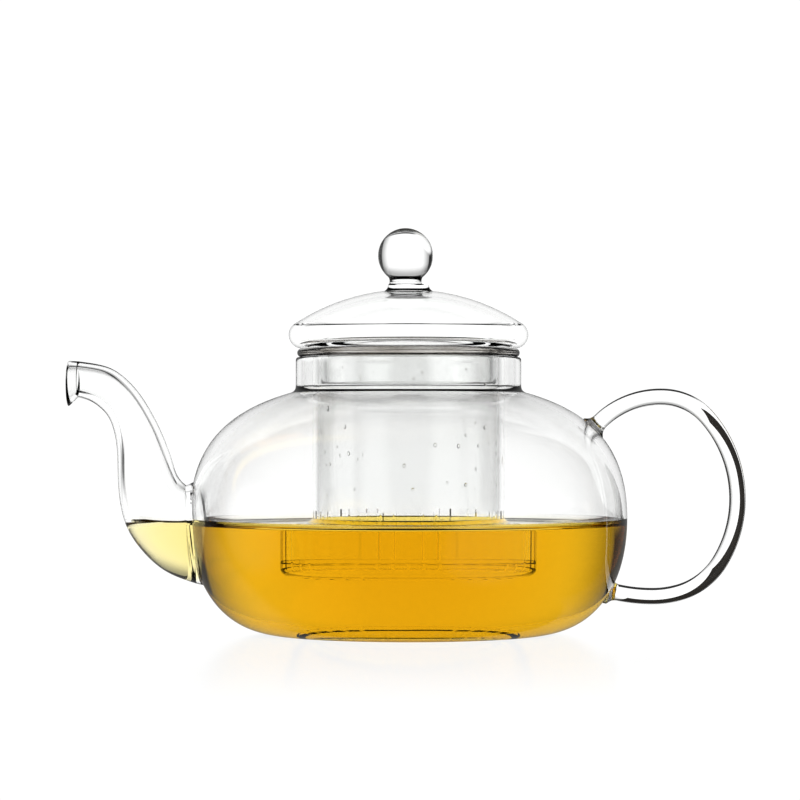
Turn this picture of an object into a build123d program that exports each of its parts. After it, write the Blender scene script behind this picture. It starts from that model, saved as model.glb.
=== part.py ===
from build123d import *
import os
from math import cos, hypot, radians, sin, sqrt, tan

# Glass teapot with a lift-out infuser and a lift-off lid, in millimetres.
# The origin is the centre of the base underside. +Z is up, the spout points to -X and the handle to +X.

# Belly: a blown shell of revolution. Its outline is two curves that meet at the widest point.
belly_radius = 74.8
belly_widest_z = 39.4
belly_wall = 2.0
base_inset = 30.8
base_pull = 18.5
low_side_pull = 24.2
high_side_pull = 27.3
shoulder_pull = 20.0
shoulder_slope = 16.0
shoulder_z = 82.4

# Neck collar: an upright tube that stands on the shoulder.
neck_radius = 38.6
neck_wall = 2.2
neck_height = 12.0
neck_foot_flare = 1.4
neck_foot_height = 2.8
neck_foot_round = 3.36
neck_top_round = 0.88

# Infuser: a rim that rests on the collar, a slotted tube and a disc that closes it.
seat_gap = 0.1
rim_set_back = 0.5
rim_thickness = 2.9
rim_edge_round = 1.3
infuser_clearance = 3.5
infuser_wall = 2.1
infuser_depth = 68.0
infuser_base_thickness = 2.6
infuser_base_round = 1.2
slot_width = 0.9
slot_height = 13.5
slot_bite = 1.6
slot_cutter_spare = 2
slot_pitch = 8.0
slots_in_group = 5
slot_groups = 5

# Lid: a hollow dome with a rolled edge, a skirt that drops inside the infuser, and a ball knob.
lid_overhang = 2.9
lid_roll = 4.6
lid_height = 20.1
lid_crown_radius = 70.5
lid_wall = 1.9
skirt_clearance = 0.8
skirt_wall = 1.8
skirt_depth = 12.5
boss_radius = 8.3
boss_height = 2.2
boss_round = 0.8
knob_radius = 9.4
knob_neck_radius = 5.9
knob_neck_height = 2.7
knob_offset = -1.0  # the hand-set knob stands a little off the lid's axis

# Spout: a round tube that bends in the plane y = 0, from the root ring on the belly up to the mouth.
# Each station gives the section's upper and lower points as (distance out from the widest belly radius,
# height above the root's centre).
spout_root_z = 33.7
spout_wall = 2.3
spout_stations = [
    ((1.4, 16.8), (-2.6, -16.9)),
    ((2.7, 17.9), (8.4, -12.5)),
    ((4.1, 19.6), (16.8, -5.0)),
    ((5.4, 22.4), (22.2, 3.9)),
    ((6.6, 26.5), (24.5, 15.0)),
    ((8.5, 31.6), (24.9, 25.0)),
    ((11.3, 38.0), (25.6, 33.0)),
    ((16.7, 47.3), (27.5, 39.3)),
    ((22.4, 53.7), (30.2, 42.9)),
    ((28.8, 57.6), (33.9, 45.6)),
    ((38.5, 59.4), (38.5, 47.1)),
]
root_ring_flare = 4.0
root_ring_depth = 12.0
lip_length = 3.4
lip_drop = 1.6
lip_radius = 7.9
lip_round = 0.8

# Handle: solid rod, bent in the plane y = 0, between two melted feet.
rod_diameter = 5.6
upper_foot_z = 70.6
lower_foot_z = 13.8
foot_length = 3.4
foot_rod_pull = 0.7 * foot_length
foot_edge_pull = 0.9 * foot_length
foot_radius = 4.6
foot_stem = 6.0
handle_reach = 38.0
handle_outermost_z = 46.0
# Ends of the tangent arcs, as (x, z) steps from the rod's own end beside each foot.
upper_rod_angle = 36.0
upper_bends = [(41.7, -6.0), (36.4, 1.5), (22.4, 8.3)]
lower_bends = [(35.0, 10.9), (21.0, 0.1), (11.9, -1.2)]

base_flat_radius = belly_radius - base_inset
neck_bore = neck_radius - neck_wall
rim_radius = neck_radius - rim_set_back
rim_underside_z = shoulder_z + neck_height + seat_gap
rim_top_z = rim_underside_z + rim_thickness
infuser_radius = neck_bore - infuser_clearance
infuser_bore = infuser_radius - infuser_wall
infuser_floor_z = rim_underside_z - infuser_depth
lid_seat_z = rim_top_z + seat_gap
lid_crown_z = lid_seat_z + lid_height
lid_edge_radius = rim_radius + lid_overhang
skirt_radius = infuser_bore - skirt_clearance
skirt_bore = skirt_radius - skirt_wall


def outline_face(edges):
    """Closed flat face in the plane y = 0 from edges drawn as (radius, height)."""
    return Plane.XZ * make_face(edges)


def spun(edges):
    """Solid of revolution about the Z axis from edges drawn as (radius, height)."""
    return revolve(outline_face(edges), Axis.Z, 360)


def ring(outer, inner, low, high):
    """Plain tube or washer about the Z axis."""
    return Pos(0, 0, low) * extrude(Circle(outer) - Circle(inner), high - low)


def belly_curves(inset, top_radius, top_z):
    """Lower and upper belly curves, moved in by the inset, up to the given mouth point."""
    widest = belly_radius - inset
    lean = (shoulder_pull * cos(radians(shoulder_slope)), -shoulder_pull * sin(radians(shoulder_slope)))
    low = [
        (base_flat_radius, inset),
        (base_flat_radius + base_pull, inset),
        (widest, belly_widest_z - low_side_pull),
        (widest, belly_widest_z),
    ]
    high = [
        (widest, belly_widest_z),
        (widest, belly_widest_z + high_side_pull),
        (top_radius + lean[0], top_z + lean[1]),
        (top_radius, top_z),
    ]
    return low, high


def outer_belly_curves():
    return belly_curves(0, neck_radius + neck_foot_flare, shoulder_z)


def belly_radius_at(height):
    """Outside radius of the belly at a height, by halving along the curve that holds it."""
    low, high = outer_belly_curves()
    curve = Bezier(*(low if height < belly_widest_z else high))
    start, end = 0.0, 1.0
    for _ in range(30):
        middle = (start + end) / 2
        if curve.position_at(middle, position_mode=PositionMode.PARAMETER).Y < height:
            start = middle
        else:
            end = middle
    return curve.position_at(start, position_mode=PositionMode.PARAMETER).X


def belly_envelope():
    """The belly as a full solid, with no hollow, for cutting what is welded to it."""
    low, high = outer_belly_curves()
    edges = [
        Line((0, 0), low[0]),
        Bezier(*low),
        Bezier(*high),
        Line(high[-1], (0, shoulder_z)),
        Line((0, shoulder_z), (0, 0)),
    ]
    return spun(edges)


def belly_hollow():
    """The space inside the belly, open up through the mouth."""
    slope = radians(shoulder_slope)
    inner_top_z = shoulder_z + (neck_foot_flare + neck_wall) * tan(slope) - belly_wall / cos(slope)
    low, high = belly_curves(belly_wall, neck_bore, inner_top_z)
    edges = [
        Line((0, belly_wall), low[0]),
        Bezier(*low),
        Bezier(*high),
        Line(high[-1], (neck_bore, shoulder_z)),
        Line((neck_bore, shoulder_z), (0, shoulder_z)),
        Line((0, shoulder_z), (0, belly_wall)),
    ]
    return spun(edges)


def spout_planes():
    """Plane and outside radius of each round station along the spout."""
    planes = []
    for (out_high, up_high), (out_low, up_low) in spout_stations:
        high = Vector(-belly_radius - out_high, 0, spout_root_z + up_high)
        low = Vector(-belly_radius - out_low, 0, spout_root_z + up_low)
        across = high - low
        plane = Plane(origin=(high + low) / 2, x_dir=(0, 1, 0), z_dir=(-across.Z, 0, across.X))
        planes.append((plane, across.length / 2))
    return planes


def spout_solid(inset):
    """Smooth round body through every spout station, thinner by the inset."""
    planes = spout_planes()
    centre_line = Spline(*[plane.origin for plane, _ in planes])
    sections = [plane * Circle(radius - inset) for plane, radius in planes]
    return sweep(sections, path=centre_line, multisection=True)


def spout_bore_root():
    """Straight round plug from just outside the root plane in through the belly wall."""
    plane, outer = spout_planes()[0]
    return plane.offset(spout_wall) * extrude(Circle(outer - spout_wall), -root_ring_depth - spout_wall)


def make_pot_belly():
    """Hollow shell with the mouth and the spout's hole."""
    return belly_envelope() - belly_hollow() - spout_bore_root()


def make_neck_collar():
    foot = neck_radius + neck_foot_flare
    top_z = shoulder_z + neck_height
    bend_z = shoulder_z + neck_foot_height
    edges = [
        Line((neck_bore, shoulder_z), (foot, shoulder_z)),
        RadiusArc((foot, shoulder_z), (neck_radius, bend_z), neck_foot_round),
        Line((neck_radius, bend_z), (neck_radius, top_z)),
        Line((neck_radius, top_z), (neck_bore, top_z)),
        Line((neck_bore, top_z), (neck_bore, shoulder_z)),
    ]
    collar = spun(edges)
    return fillet(collar.edges().group_by(Axis.Z)[-1], neck_top_round)


def make_spout():
    return spout_solid(0) - spout_solid(spout_wall)


def make_spout_root_ring():
    """Short flared ring between the end of the spout and the belly's surface."""
    plane, outer = spout_planes()[0]
    flare = plane * loft([Circle(outer), Pos(0, 0, -root_ring_depth) * Circle(outer + root_ring_flare)])
    return flare - spout_bore_root() - belly_envelope()


def make_spout_lip():
    """Pouring lip: flares and drops a little from the tube's end to the mouth."""
    plane, outer = spout_planes()[-1]
    mouth = plane.offset(lip_length)
    mouth.origin -= Vector(0, 0, lip_drop)
    lip = loft([plane * Circle(outer), mouth * Circle(lip_radius)])
    bore = loft([plane * Circle(outer - spout_wall), mouth * Circle(lip_radius - spout_wall)])
    lip -= bore
    return fillet(lip.edges().filter_by(lambda edge: edge.center().X < mouth.origin.X + lip_round), lip_round)


def handle_ends():
    """The rod's two end points, one foot length out from the belly, with the way out at the upper one."""
    way = radians(upper_rod_angle)
    top = (belly_radius_at(upper_foot_z) + foot_length * cos(way), upper_foot_z + foot_length * sin(way))
    bottom = (belly_radius_at(lower_foot_z) + foot_length, lower_foot_z)
    return top, bottom


def tangent_chain(start, tangent, stops):
    """Arcs from a start point through every stop, each one tangent to the last."""
    arcs = []
    for stop in stops:
        arc = TangentArc(start, stop, tangent=tangent)
        arcs.append(arc)
        start = stop
        tangent = arc % 1
    return arcs


def handle_chains():
    """The two runs of arcs from the outermost point of the handle, up and down to the feet."""
    top, bottom = handle_ends()
    outermost = (belly_radius + handle_reach, handle_outermost_z)
    up_stops = [(top[0] + x, top[1] + z) for x, z in upper_bends] + [top]
    down_stops = [(bottom[0] + x, bottom[1] + z) for x, z in lower_bends] + [bottom]
    return tangent_chain(outermost, (0, 1), up_stops), tangent_chain(outermost, (0, -1), down_stops)


def make_handle():
    up, down = handle_chains()
    path = Plane.XZ * Wire(up + down)
    start = path @ 0
    section = Plane(origin=start, z_dir=path % 0) * Circle(rod_diameter / 2)
    return sweep(section, path=path)


def make_foot(chain):
    """Melted pad that flares from the rod's end to the belly, cut to the belly's own surface."""
    end = chain[-1] @ 1
    way = chain[-1] % 1
    rod = rod_diameter / 2
    deep = foot_length + foot_stem
    edges = [
        Line((0, 0), (rod, 0)),
        Bezier((rod, 0), (rod, foot_rod_pull), (foot_radius, foot_edge_pull), (foot_radius, foot_length)),
        Line((foot_radius, foot_length), (foot_radius, deep)),
        Line((foot_radius, deep), (0, deep)),
        Line((0, deep), (0, 0)),
    ]
    pad = Plane(origin=(end.X, 0, end.Y), z_dir=(way.X, 0, way.Y)) * spun(edges)
    return pad - belly_envelope()


def slot_cutters():
    """Narrow upright cutters in even groups round the foot of the infuser tube."""
    reach = infuser_wall + slot_bite + slot_cutter_spare
    tall = slot_height + infuser_base_thickness
    middle_radius = infuser_bore - slot_bite + reach / 2
    cutters = []
    for group in range(slot_groups):
        for place in range(slots_in_group):
            turn = -90 + group * 360 / slot_groups + (place - (slots_in_group - 1) / 2) * slot_pitch
            cutter = Pos(middle_radius, 0, infuser_floor_z + tall / 2) * Box(reach, slot_width, tall)
            cutters.append(Rot(0, 0, turn) * cutter)
    return cutters


def make_infuser_rim():
    rim = ring(rim_radius, infuser_bore, rim_underside_z, rim_top_z)
    circles = rim.edges().filter_by(GeomType.CIRCLE)
    return fillet(circles.filter_by(lambda edge: edge.radius > infuser_radius), rim_edge_round)


def make_infuser_tube():
    tube = ring(infuser_radius, infuser_bore, infuser_floor_z + infuser_base_thickness, rim_underside_z)
    return tube - slot_cutters()


def make_infuser_base():
    disc = Pos(0, 0, infuser_floor_z) * extrude(Circle(infuser_radius), infuser_base_thickness)
    disc = fillet(disc.edges().group_by(Axis.Z)[0], infuser_base_round)
    return disc - slot_cutters()


def lid_outline(inset):
    """Dome, rolled edge and flat underside as edges, moved in by the inset, and the end of the underside."""
    crown = lid_crown_radius - inset
    roll = lid_roll - inset
    roll_r = lid_edge_radius - lid_roll
    roll_z = lid_seat_z + lid_roll
    centre_z = lid_crown_z - lid_crown_radius
    lean = hypot(roll_r, roll_z - centre_z)
    meet = (roll_r + roll * roll_r / lean, roll_z + roll * (roll_z - centre_z) / lean)
    top = (0, centre_z + crown)
    under = (roll_r, roll_z - roll)
    return top, meet, (roll_r + roll, roll_z), under


def lid_solid(inset, hole_radius):
    """The lid's dome with no hollow, moved in by the inset, with a round stub down to the seat."""
    top, meet, edge, under = lid_outline(inset)
    hole_edge = (hole_radius, under[1])
    edges = [
        TangentArc(top, meet, tangent=(1, 0)),
        ThreePointArc(meet, edge, under),
        Line(under, hole_edge),
        Line((0, lid_seat_z), top),
    ]
    if inset > 0:
        edges.append(Line(hole_edge, (hole_radius, lid_seat_z)))
    edges.append(Line((hole_radius, lid_seat_z), (0, lid_seat_z)))
    return spun(edges)


def make_lid_dome():
    """Hollow dome, open through its flat underside to the skirt's bore."""
    seat = Pos(0, 0, boss_seat_z()) * extrude(Circle(boss_radius), boss_height)
    return lid_solid(0, skirt_bore) - lid_solid(lid_wall, skirt_bore) - seat


def boss_seat_z():
    """Height of the flat that the boss stands on, where the dome reaches the boss radius."""
    return lid_crown_z - lid_crown_radius + sqrt(lid_crown_radius**2 - boss_radius**2)


def make_lid_skirt():
    return ring(skirt_radius, skirt_bore, lid_seat_z - skirt_depth, lid_seat_z)


def make_lid_boss():
    boss = Pos(0, 0, boss_seat_z()) * extrude(Circle(boss_radius), boss_height)
    return fillet(boss.edges().group_by(Axis.Z)[-1], boss_round)


def make_knob_neck():
    return Pos(knob_offset, 0, boss_seat_z() + boss_height) * extrude(Circle(knob_neck_radius), knob_neck_height)


def make_lid_knob():
    """Ball with a flat where the neck joins it."""
    flat_z = boss_seat_z() + boss_height + knob_neck_height
    ball_z = flat_z + sqrt(knob_radius**2 - knob_neck_radius**2)
    ball = Pos(knob_offset, 0, ball_z) * Sphere(knob_radius)
    return split(ball, Plane.XY.offset(flat_z), keep=Keep.TOP)


def make_parts():
    """Every sub-part of the teapot by its node name."""
    up, down = handle_chains()
    return {
        "pot_belly": make_pot_belly(),
        "neck_collar": make_neck_collar(),
        "spout": make_spout(),
        "spout_root_ring": make_spout_root_ring(),
        "spout_lip": make_spout_lip(),
        "handle": make_handle(),
        "handle_upper_foot": make_foot(up),
        "handle_lower_foot": make_foot(down),
        "infuser_rim": make_infuser_rim(),
        "infuser_tube": make_infuser_tube(),
        "infuser_base": make_infuser_base(),
        "lid_dome": make_lid_dome(),
        "lid_skirt": make_lid_skirt(),
        "lid_boss": make_lid_boss(),
        "knob_neck": make_knob_neck(),
        "lid_knob": make_lid_knob(),
    }


os.makedirs("parts", exist_ok=True)
for name, solid in make_parts().items():
    export_step(solid, f"parts/{name}.step")
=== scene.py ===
"""Looks of the glass teapot: blown pot, rod handle, lift-out infuser, lid with a ball knob, and tea."""

from math import acos, atan2, cos, exp, hypot, pi, radians, sin, sqrt, tan

import bmesh
import bpy
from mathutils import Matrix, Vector


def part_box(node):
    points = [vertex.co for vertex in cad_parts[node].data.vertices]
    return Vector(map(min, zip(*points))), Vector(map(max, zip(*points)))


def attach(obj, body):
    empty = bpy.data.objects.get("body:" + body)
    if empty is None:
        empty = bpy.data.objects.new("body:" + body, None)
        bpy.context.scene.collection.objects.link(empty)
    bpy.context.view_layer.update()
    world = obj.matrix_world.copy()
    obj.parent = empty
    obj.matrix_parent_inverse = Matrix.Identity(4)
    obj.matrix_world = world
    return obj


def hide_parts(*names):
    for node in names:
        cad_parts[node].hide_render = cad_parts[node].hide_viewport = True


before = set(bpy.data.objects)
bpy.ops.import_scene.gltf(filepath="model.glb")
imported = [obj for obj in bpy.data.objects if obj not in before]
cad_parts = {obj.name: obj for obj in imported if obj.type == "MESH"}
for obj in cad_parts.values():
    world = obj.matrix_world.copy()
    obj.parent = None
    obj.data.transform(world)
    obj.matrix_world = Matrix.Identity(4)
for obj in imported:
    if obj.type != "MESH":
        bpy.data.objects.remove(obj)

bl_info = {
    "name": "Glass Teapot",
    "version": (1, 0, 0),
    "blender": (4, 5, 0),
    "location": "3D View > Sidebar > Teapot",
    "description": "Builds a blown glass teapot with an infuser, a lid and tea",
    "category": "Add Mesh",
}

MM = 0.001
ROUND = 256  # sides of the large rounds
ROUND_SMALL = 96  # sides of the spout, the feet and the knob
GLASS_IOR = 1.47
TEA_IOR = 1.333
WELD_IOR = 1.0  # a joint melted into one piece of glass bends no light
WET_IOR = GLASS_IOR / TEA_IOR
LID_IOR = 1.15
JOINT_IOR = 1.1
WET_INFUSER_IOR = 1.05
DRAWN_UP = (1.0, 1.0, 0.3)  # waves of drawn glass, stretched along its height
WHITE = 0.83  # brightness that the exposure turns to plain white
SKIN = 0.05 * MM  # how far the tea reaches into the glass, so that no air shows between them


def length(name, millimetres, description):
    return bpy.props.FloatProperty(
        name=name, description=description, default=millimetres * MM, unit="LENGTH", precision=5
    )


def angle(name, degrees_, description):
    return bpy.props.FloatProperty(
        name=name, description=description, default=radians(degrees_), subtype="ANGLE"
    )


def colour(name, value, description):
    return bpy.props.FloatVectorProperty(
        name=name, description=description, default=value, subtype="COLOR", min=0.0, max=1.0
    )


def number(name, value, description):
    return bpy.props.FloatProperty(name=name, description=description, default=value)


BELLY_LOW, BELLY_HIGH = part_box("pot_belly")
COLLAR_LOW, COLLAR_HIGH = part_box("neck_collar")
RIM_LOW, RIM_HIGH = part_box("infuser_rim")
TUBE_LOW, TUBE_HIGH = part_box("infuser_tube")
BASE_LOW, BASE_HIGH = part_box("infuser_base")
DOME_LOW, DOME_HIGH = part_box("lid_dome")
SKIRT_LOW, SKIRT_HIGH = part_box("lid_skirt")
BOSS_LOW, BOSS_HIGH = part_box("lid_boss")
KNOB_NECK_LOW, KNOB_NECK_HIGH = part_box("knob_neck")
KNOB_LOW, KNOB_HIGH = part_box("lid_knob")
HANDLE_LOW, HANDLE_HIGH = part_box("handle")


class PotSizes(bpy.types.PropertyGroup):
    belly_wall: length("Belly wall", 2.0, "Thickness of the blown belly")
    widest_z: length("Widest height", 39.4, "Height of the widest point of the belly")
    base_flat: length("Base flat radius", 44.0, "Radius of the flat that the pot stands on")
    base_pull: length("Base pull", 18.5, "How far the base curve runs flat")
    low_side_pull: length("Lower side pull", 24.2, "How far the side runs upright below the widest point")
    high_side_pull: length("Upper side pull", 27.3, "How far the side runs upright above the widest point")
    shoulder_pull: length("Shoulder pull", 20.0, "How far the shoulder follows its own slope")
    shoulder_slope: angle("Shoulder slope", 16.0, "Slope of the shoulder at the neck")
    neck_wall: length("Neck wall", 2.2, "Thickness of the neck collar")
    neck_flare: length("Neck foot flare", 1.4, "How far the foot of the collar flares out")


class SpoutSizes(bpy.types.PropertyGroup):
    wall: length("Spout wall", 2.3, "Thickness of the spout")
    root_z: length("Root height", 33.7, "Height of the centre of the spout's root")
    ring_flare: length("Root ring flare", 4.0, "How much wider the weld ring is where it meets the belly")
    ring_depth: length("Root ring depth", 12.0, "Length that the weld ring flares over")
    lip_length: length("Lip length", 3.4, "Length of the pouring lip")
    lip_drop: length("Lip drop", 1.6, "How far the mouth drops over the lip")
    lip_radius: length("Lip radius", 7.9, "Outside radius of the mouth")
    lip_round: length("Lip round", 0.8, "Fire-polished rounding of the mouth")


class HandleSizes(bpy.types.PropertyGroup):
    rod: length("Rod diameter", 5.6, "Diameter of the solid rod")
    upper_foot_z: length("Upper foot height", 70.6, "Height of the upper foot on the belly")
    lower_foot_z: length("Lower foot height", 13.8, "Height of the lower foot on the belly")
    foot_length: length("Foot length", 3.4, "Length of each melted foot")
    foot_radius: length("Foot radius", 4.6, "Radius of each foot on the belly")
    foot_stem: length("Foot stem", 6.0, "Length of foot inside the belly's outline, before it is trimmed")
    outermost_z: length("Outermost height", 46.0, "Height of the outermost point of the handle")
    rod_angle: angle("Upper rod angle", 36.0, "Direction in which the rod leaves the upper foot")


class InfuserSizes(bpy.types.PropertyGroup):
    rim_round: length("Rim round", 1.3, "Rounding of the rim's outer edge")
    wall: length("Infuser wall", 2.1, "Thickness of the infuser tube")
    base_round: length("Base round", 1.2, "Rounding under the infuser's floor")
    slot_width: length("Slot width", 0.9, "Width of each slot")
    slot_height: length("Slot height", 13.5, "Height of the slots above the floor disc")
    slot_bite: length("Slot bite", 1.6, "How far each slot cuts in past the bore")
    slot_pitch: angle("Slot pitch", 8.0, "Turn between neighbouring slots")
    slots_in_group: bpy.props.IntProperty(name="Slots in a group", description="Slots in a group", default=5)
    slot_groups: bpy.props.IntProperty(name="Slot groups", description="Groups round the tube", default=5)


class LidSizes(bpy.types.PropertyGroup):
    roll: length("Edge roll", 4.6, "Radius of the rolled edge")
    crown_radius: length("Crown radius", 70.5, "Radius of the dome")
    wall: length("Lid wall", 1.9, "Thickness of the dome")
    skirt_wall: length("Skirt wall", 1.8, "Thickness of the skirt")
    knob_radius: length("Knob radius", 9.4, "Radius of the ball knob")


class TeaSizes(bpy.types.PropertyGroup):
    level: length("Tea level", 37.0, "Height of the tea above the table")
    climb: length("Meniscus height", 2.4, "How far the tea climbs the glass")
    climb_width: length("Meniscus width", 2.0, "How fast the climb dies away from the glass")
    absorbs: colour("Tea colour", (0.968, 0.89, 0.41), "Colour that the tea lets through")
    density: number("Tea strength", 60.0, "How strongly the tea takes up light, per metre")
    bubbles: bpy.props.IntProperty(name="Bubbles", description="Bubbles in the foam ring", default=150)
    droplets: bpy.props.IntProperty(name="Droplets", description="Droplets on the infuser", default=46)


class StageSizes(bpy.types.PropertyGroup):
    camera_distance: length("Camera distance", 973.0, "Distance of the camera from the pot's axis")
    camera_height: length("Camera height", 69.9, "Height of the camera")
    lens: number("Lens", 127.7, "Focal length of the camera, in millimetres")
    floor_size: length("Floor size", 6000.0, "Side of the white table")
    dark: number("Dark surround", 0.03, "Brightness of the studio beside the white cards")


# Spout stations: the section's upper and lower points, as (out from the belly's widest radius,
# up from the root's centre), in millimetres.
FLAG_BACK = 25 * MM  # from the handle's plane to the dark card
FLAG_CORNERS = [(78, 18), (110, 18), (112, 50), (108, 74), (100, 74), (92, 40), (78, 34)]

# The main light card, in degrees either side of +Y and above it: where each change starts and ends.
MAIN_FADE = (22, 60)
MAIN_SIDE = (45, 49)
MAIN_DIM = (16, 36)
MAIN_TOP = (38, 44)
MAIN_FOOT = (-39, -35)
MAIN_BRIGHT = 0.96
MAIN_FADED = 0.22
MAIN_DIMMED = 0.5
MIRRORED = 0.2  # share of the light that reflections on the glass see

SPOUT_STATIONS = [
    ((1.4, 16.8), (-2.6, -16.9)),
    ((2.7, 17.9), (8.4, -12.5)),
    ((4.1, 19.6), (16.8, -5.0)),
    ((5.4, 22.4), (22.2, 3.9)),
    ((6.6, 26.5), (24.5, 15.0)),
    ((8.5, 31.6), (24.9, 25.0)),
    ((11.3, 38.0), (25.6, 33.0)),
    ((16.7, 47.3), (27.5, 39.3)),
    ((22.4, 53.7), (30.2, 42.9)),
    ((28.8, 57.6), (33.9, 45.6)),
    ((38.5, 59.4), (38.5, 47.1)),
]
# Ends of the handle's tangent arcs, as (x, z) steps in millimetres from the rod's own ends.
UPPER_BENDS = [(41.7, -6.0), (36.4, 1.5), (22.4, 8.3)]
LOWER_BENDS = [(35.0, 10.9), (21.0, 0.1), (11.9, -1.2)]


# ---------------------------------------------------------------- outlines


def bezier(a, b, c, d, steps):
    """Points of a cubic curve, both ends included."""
    points = []
    for i in range(steps + 1):
        t = i / steps
        s = 1 - t
        points.append(
            tuple(
                s**3 * a[k] + 3 * s * s * t * b[k] + 3 * s * t * t * c[k] + t**3 * d[k] for k in (0, 1)
            )
        )
    return points


def arc(centre, radius, start, end, steps):
    """Points of an arc between two angles in degrees, both ends included."""
    points = []
    for i in range(steps + 1):
        turn = radians(start + (end - start) * i / steps)
        points.append((centre[0] + radius * cos(turn), centre[1] + radius * sin(turn)))
    return points


def straight(a, b, steps):
    return [tuple(a[k] + (b[k] - a[k]) * i / steps for k in (0, 1)) for i in range(steps + 1)]


def chain(*stretches):
    """Outline from (points, finish) stretches: the points once each, and the finish of every edge."""
    points = []
    finishes = []
    for stretch, finish in stretches:
        for point in stretch:
            if points and hypot(point[0] - points[-1][0], point[1] - points[-1][1]) < 1e-7:
                continue
            if points:
                finishes.append(finish)
            points.append(point)
    return points, finishes


def split_at(points, finishes, level, below):
    """Adds a point where the outline crosses the level. Edges under it get another finish."""
    new_points = [points[0]]
    new_finishes = []
    for i, finish in enumerate(finishes):
        a = points[i]
        b = points[(i + 1) % len(points)]
        if finish in below and (a[1] - level) * (b[1] - level) < 0:
            t = (level - a[1]) / (b[1] - a[1])
            new_points.append((a[0] + (b[0] - a[0]) * t, level))
            new_finishes.append(below[finish] if a[1] < level else finish)
            new_finishes.append(below[finish] if b[1] < level else finish)
        else:
            wet = finish in below and max(a[1], b[1]) <= level + 1e-9
            new_finishes.append(below[finish] if wet else finish)
        if i + 1 < len(points):
            new_points.append(b)
    return new_points, new_finishes


# ---------------------------------------------------------------- meshes


def about_z(r, h, turn):
    return (r * cos(turn), r * sin(turn), h)


def finished_with(piece, materials):
    """Gives a mesh its finishes before it is cut, so that a cut keeps them."""
    for material in materials:
        piece.data.materials.append(material)
    return piece


def lathe(name, outline, sides=ROUND, place=about_z, closed=False):
    """Closed mesh of revolution. A point on the axis is one vertex; an edge's finish is a material index."""
    points, finishes = outline
    if closed and hypot(points[0][0] - points[-1][0], points[0][1] - points[-1][1]) < 1e-7:
        points = points[:-1]
    mesh = bmesh.new()
    rings = []
    for r, h in points:
        if abs(r) < 1e-7:
            rings.append([mesh.verts.new(place(0.0, h, 0.0))] * sides)
        else:
            rings.append([mesh.verts.new(place(r, h, 2 * pi * i / sides)) for i in range(sides)])
    count = len(rings)
    for k in range(count if closed else count - 1):
        low = rings[k]
        high = rings[(k + 1) % count]
        if low[0] is low[1] and high[0] is high[1]:
            continue
        for i in range(sides):
            j = (i + 1) % sides
            corners = [low[i], low[j], high[j], high[i]]
            if low[i] is low[j]:
                corners = [low[i], high[j], high[i]]
            elif high[i] is high[j]:
                corners = [low[i], low[j], high[i]]
            face = mesh.faces.new(corners)
            face.material_index = finishes[k]
    return finished(name, mesh)


def outward(mesh):
    """Turns every face of a closed mesh outwards by volume, as each separate shell is already consistent."""
    bmesh.ops.recalc_face_normals(mesh, faces=mesh.faces)
    if mesh.calc_volume(signed=True) < 0:
        bmesh.ops.reverse_faces(mesh, faces=mesh.faces)


def finished(name, mesh, turn=True):
    if turn:
        outward(mesh)
    data = bpy.data.meshes.new(name)
    mesh.to_mesh(data)
    mesh.free()
    piece = bpy.data.objects.new(name, data)
    bpy.context.scene.collection.objects.link(piece)
    return piece


def smooth(piece, crease=35.0):
    piece.data.shade_smooth()
    piece.data.set_sharp_from_angle(angle=radians(crease))
    return piece


def boolean(piece, cutter, operation):
    """Applies a boolean with another object, which the caller removes afterwards."""
    modifier = piece.modifiers.new(operation, "BOOLEAN")
    modifier.operation = operation
    modifier.solver = "MANIFOLD"
    modifier.object = cutter
    graph = bpy.context.evaluated_depsgraph_get()
    data = bpy.data.meshes.new_from_object(piece.evaluated_get(graph))
    piece.modifiers.remove(modifier)
    old = piece.data
    name = old.name
    piece.data = data
    bpy.data.meshes.remove(old)
    data.name = name
    return piece


def drop(piece):
    data = piece.data
    bpy.data.objects.remove(piece)
    bpy.data.meshes.remove(data)


def copy_of(piece, name):
    other = piece.copy()
    other.data = piece.data.copy()
    other.name = name
    bpy.context.scene.collection.objects.link(other)
    return other


def join_meshes(name, pieces):
    """One object from several, with their faces as they are."""
    mesh = bmesh.new()
    for piece in pieces:
        mesh.from_mesh(piece.data)
        drop(piece)
    return finished(name, mesh, turn=False)


def settle(piece, body, materials, *nodes, slot=None):
    """Sets a piece's finishes and body, and hides the CAD nodes that it stands for; the slot argument is not
    used. Its faces keep their place in the list of finishes.
    """
    faces = piece.data.polygons
    indices = [face.material_index for face in faces]
    piece.data.materials.clear()
    for material in materials:
        piece.data.materials.append(material)
    faces.foreach_set("material_index", indices)
    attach(piece, body)
    if nodes:
        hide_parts(*nodes)
    return piece


# ---------------------------------------------------------------- materials


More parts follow.
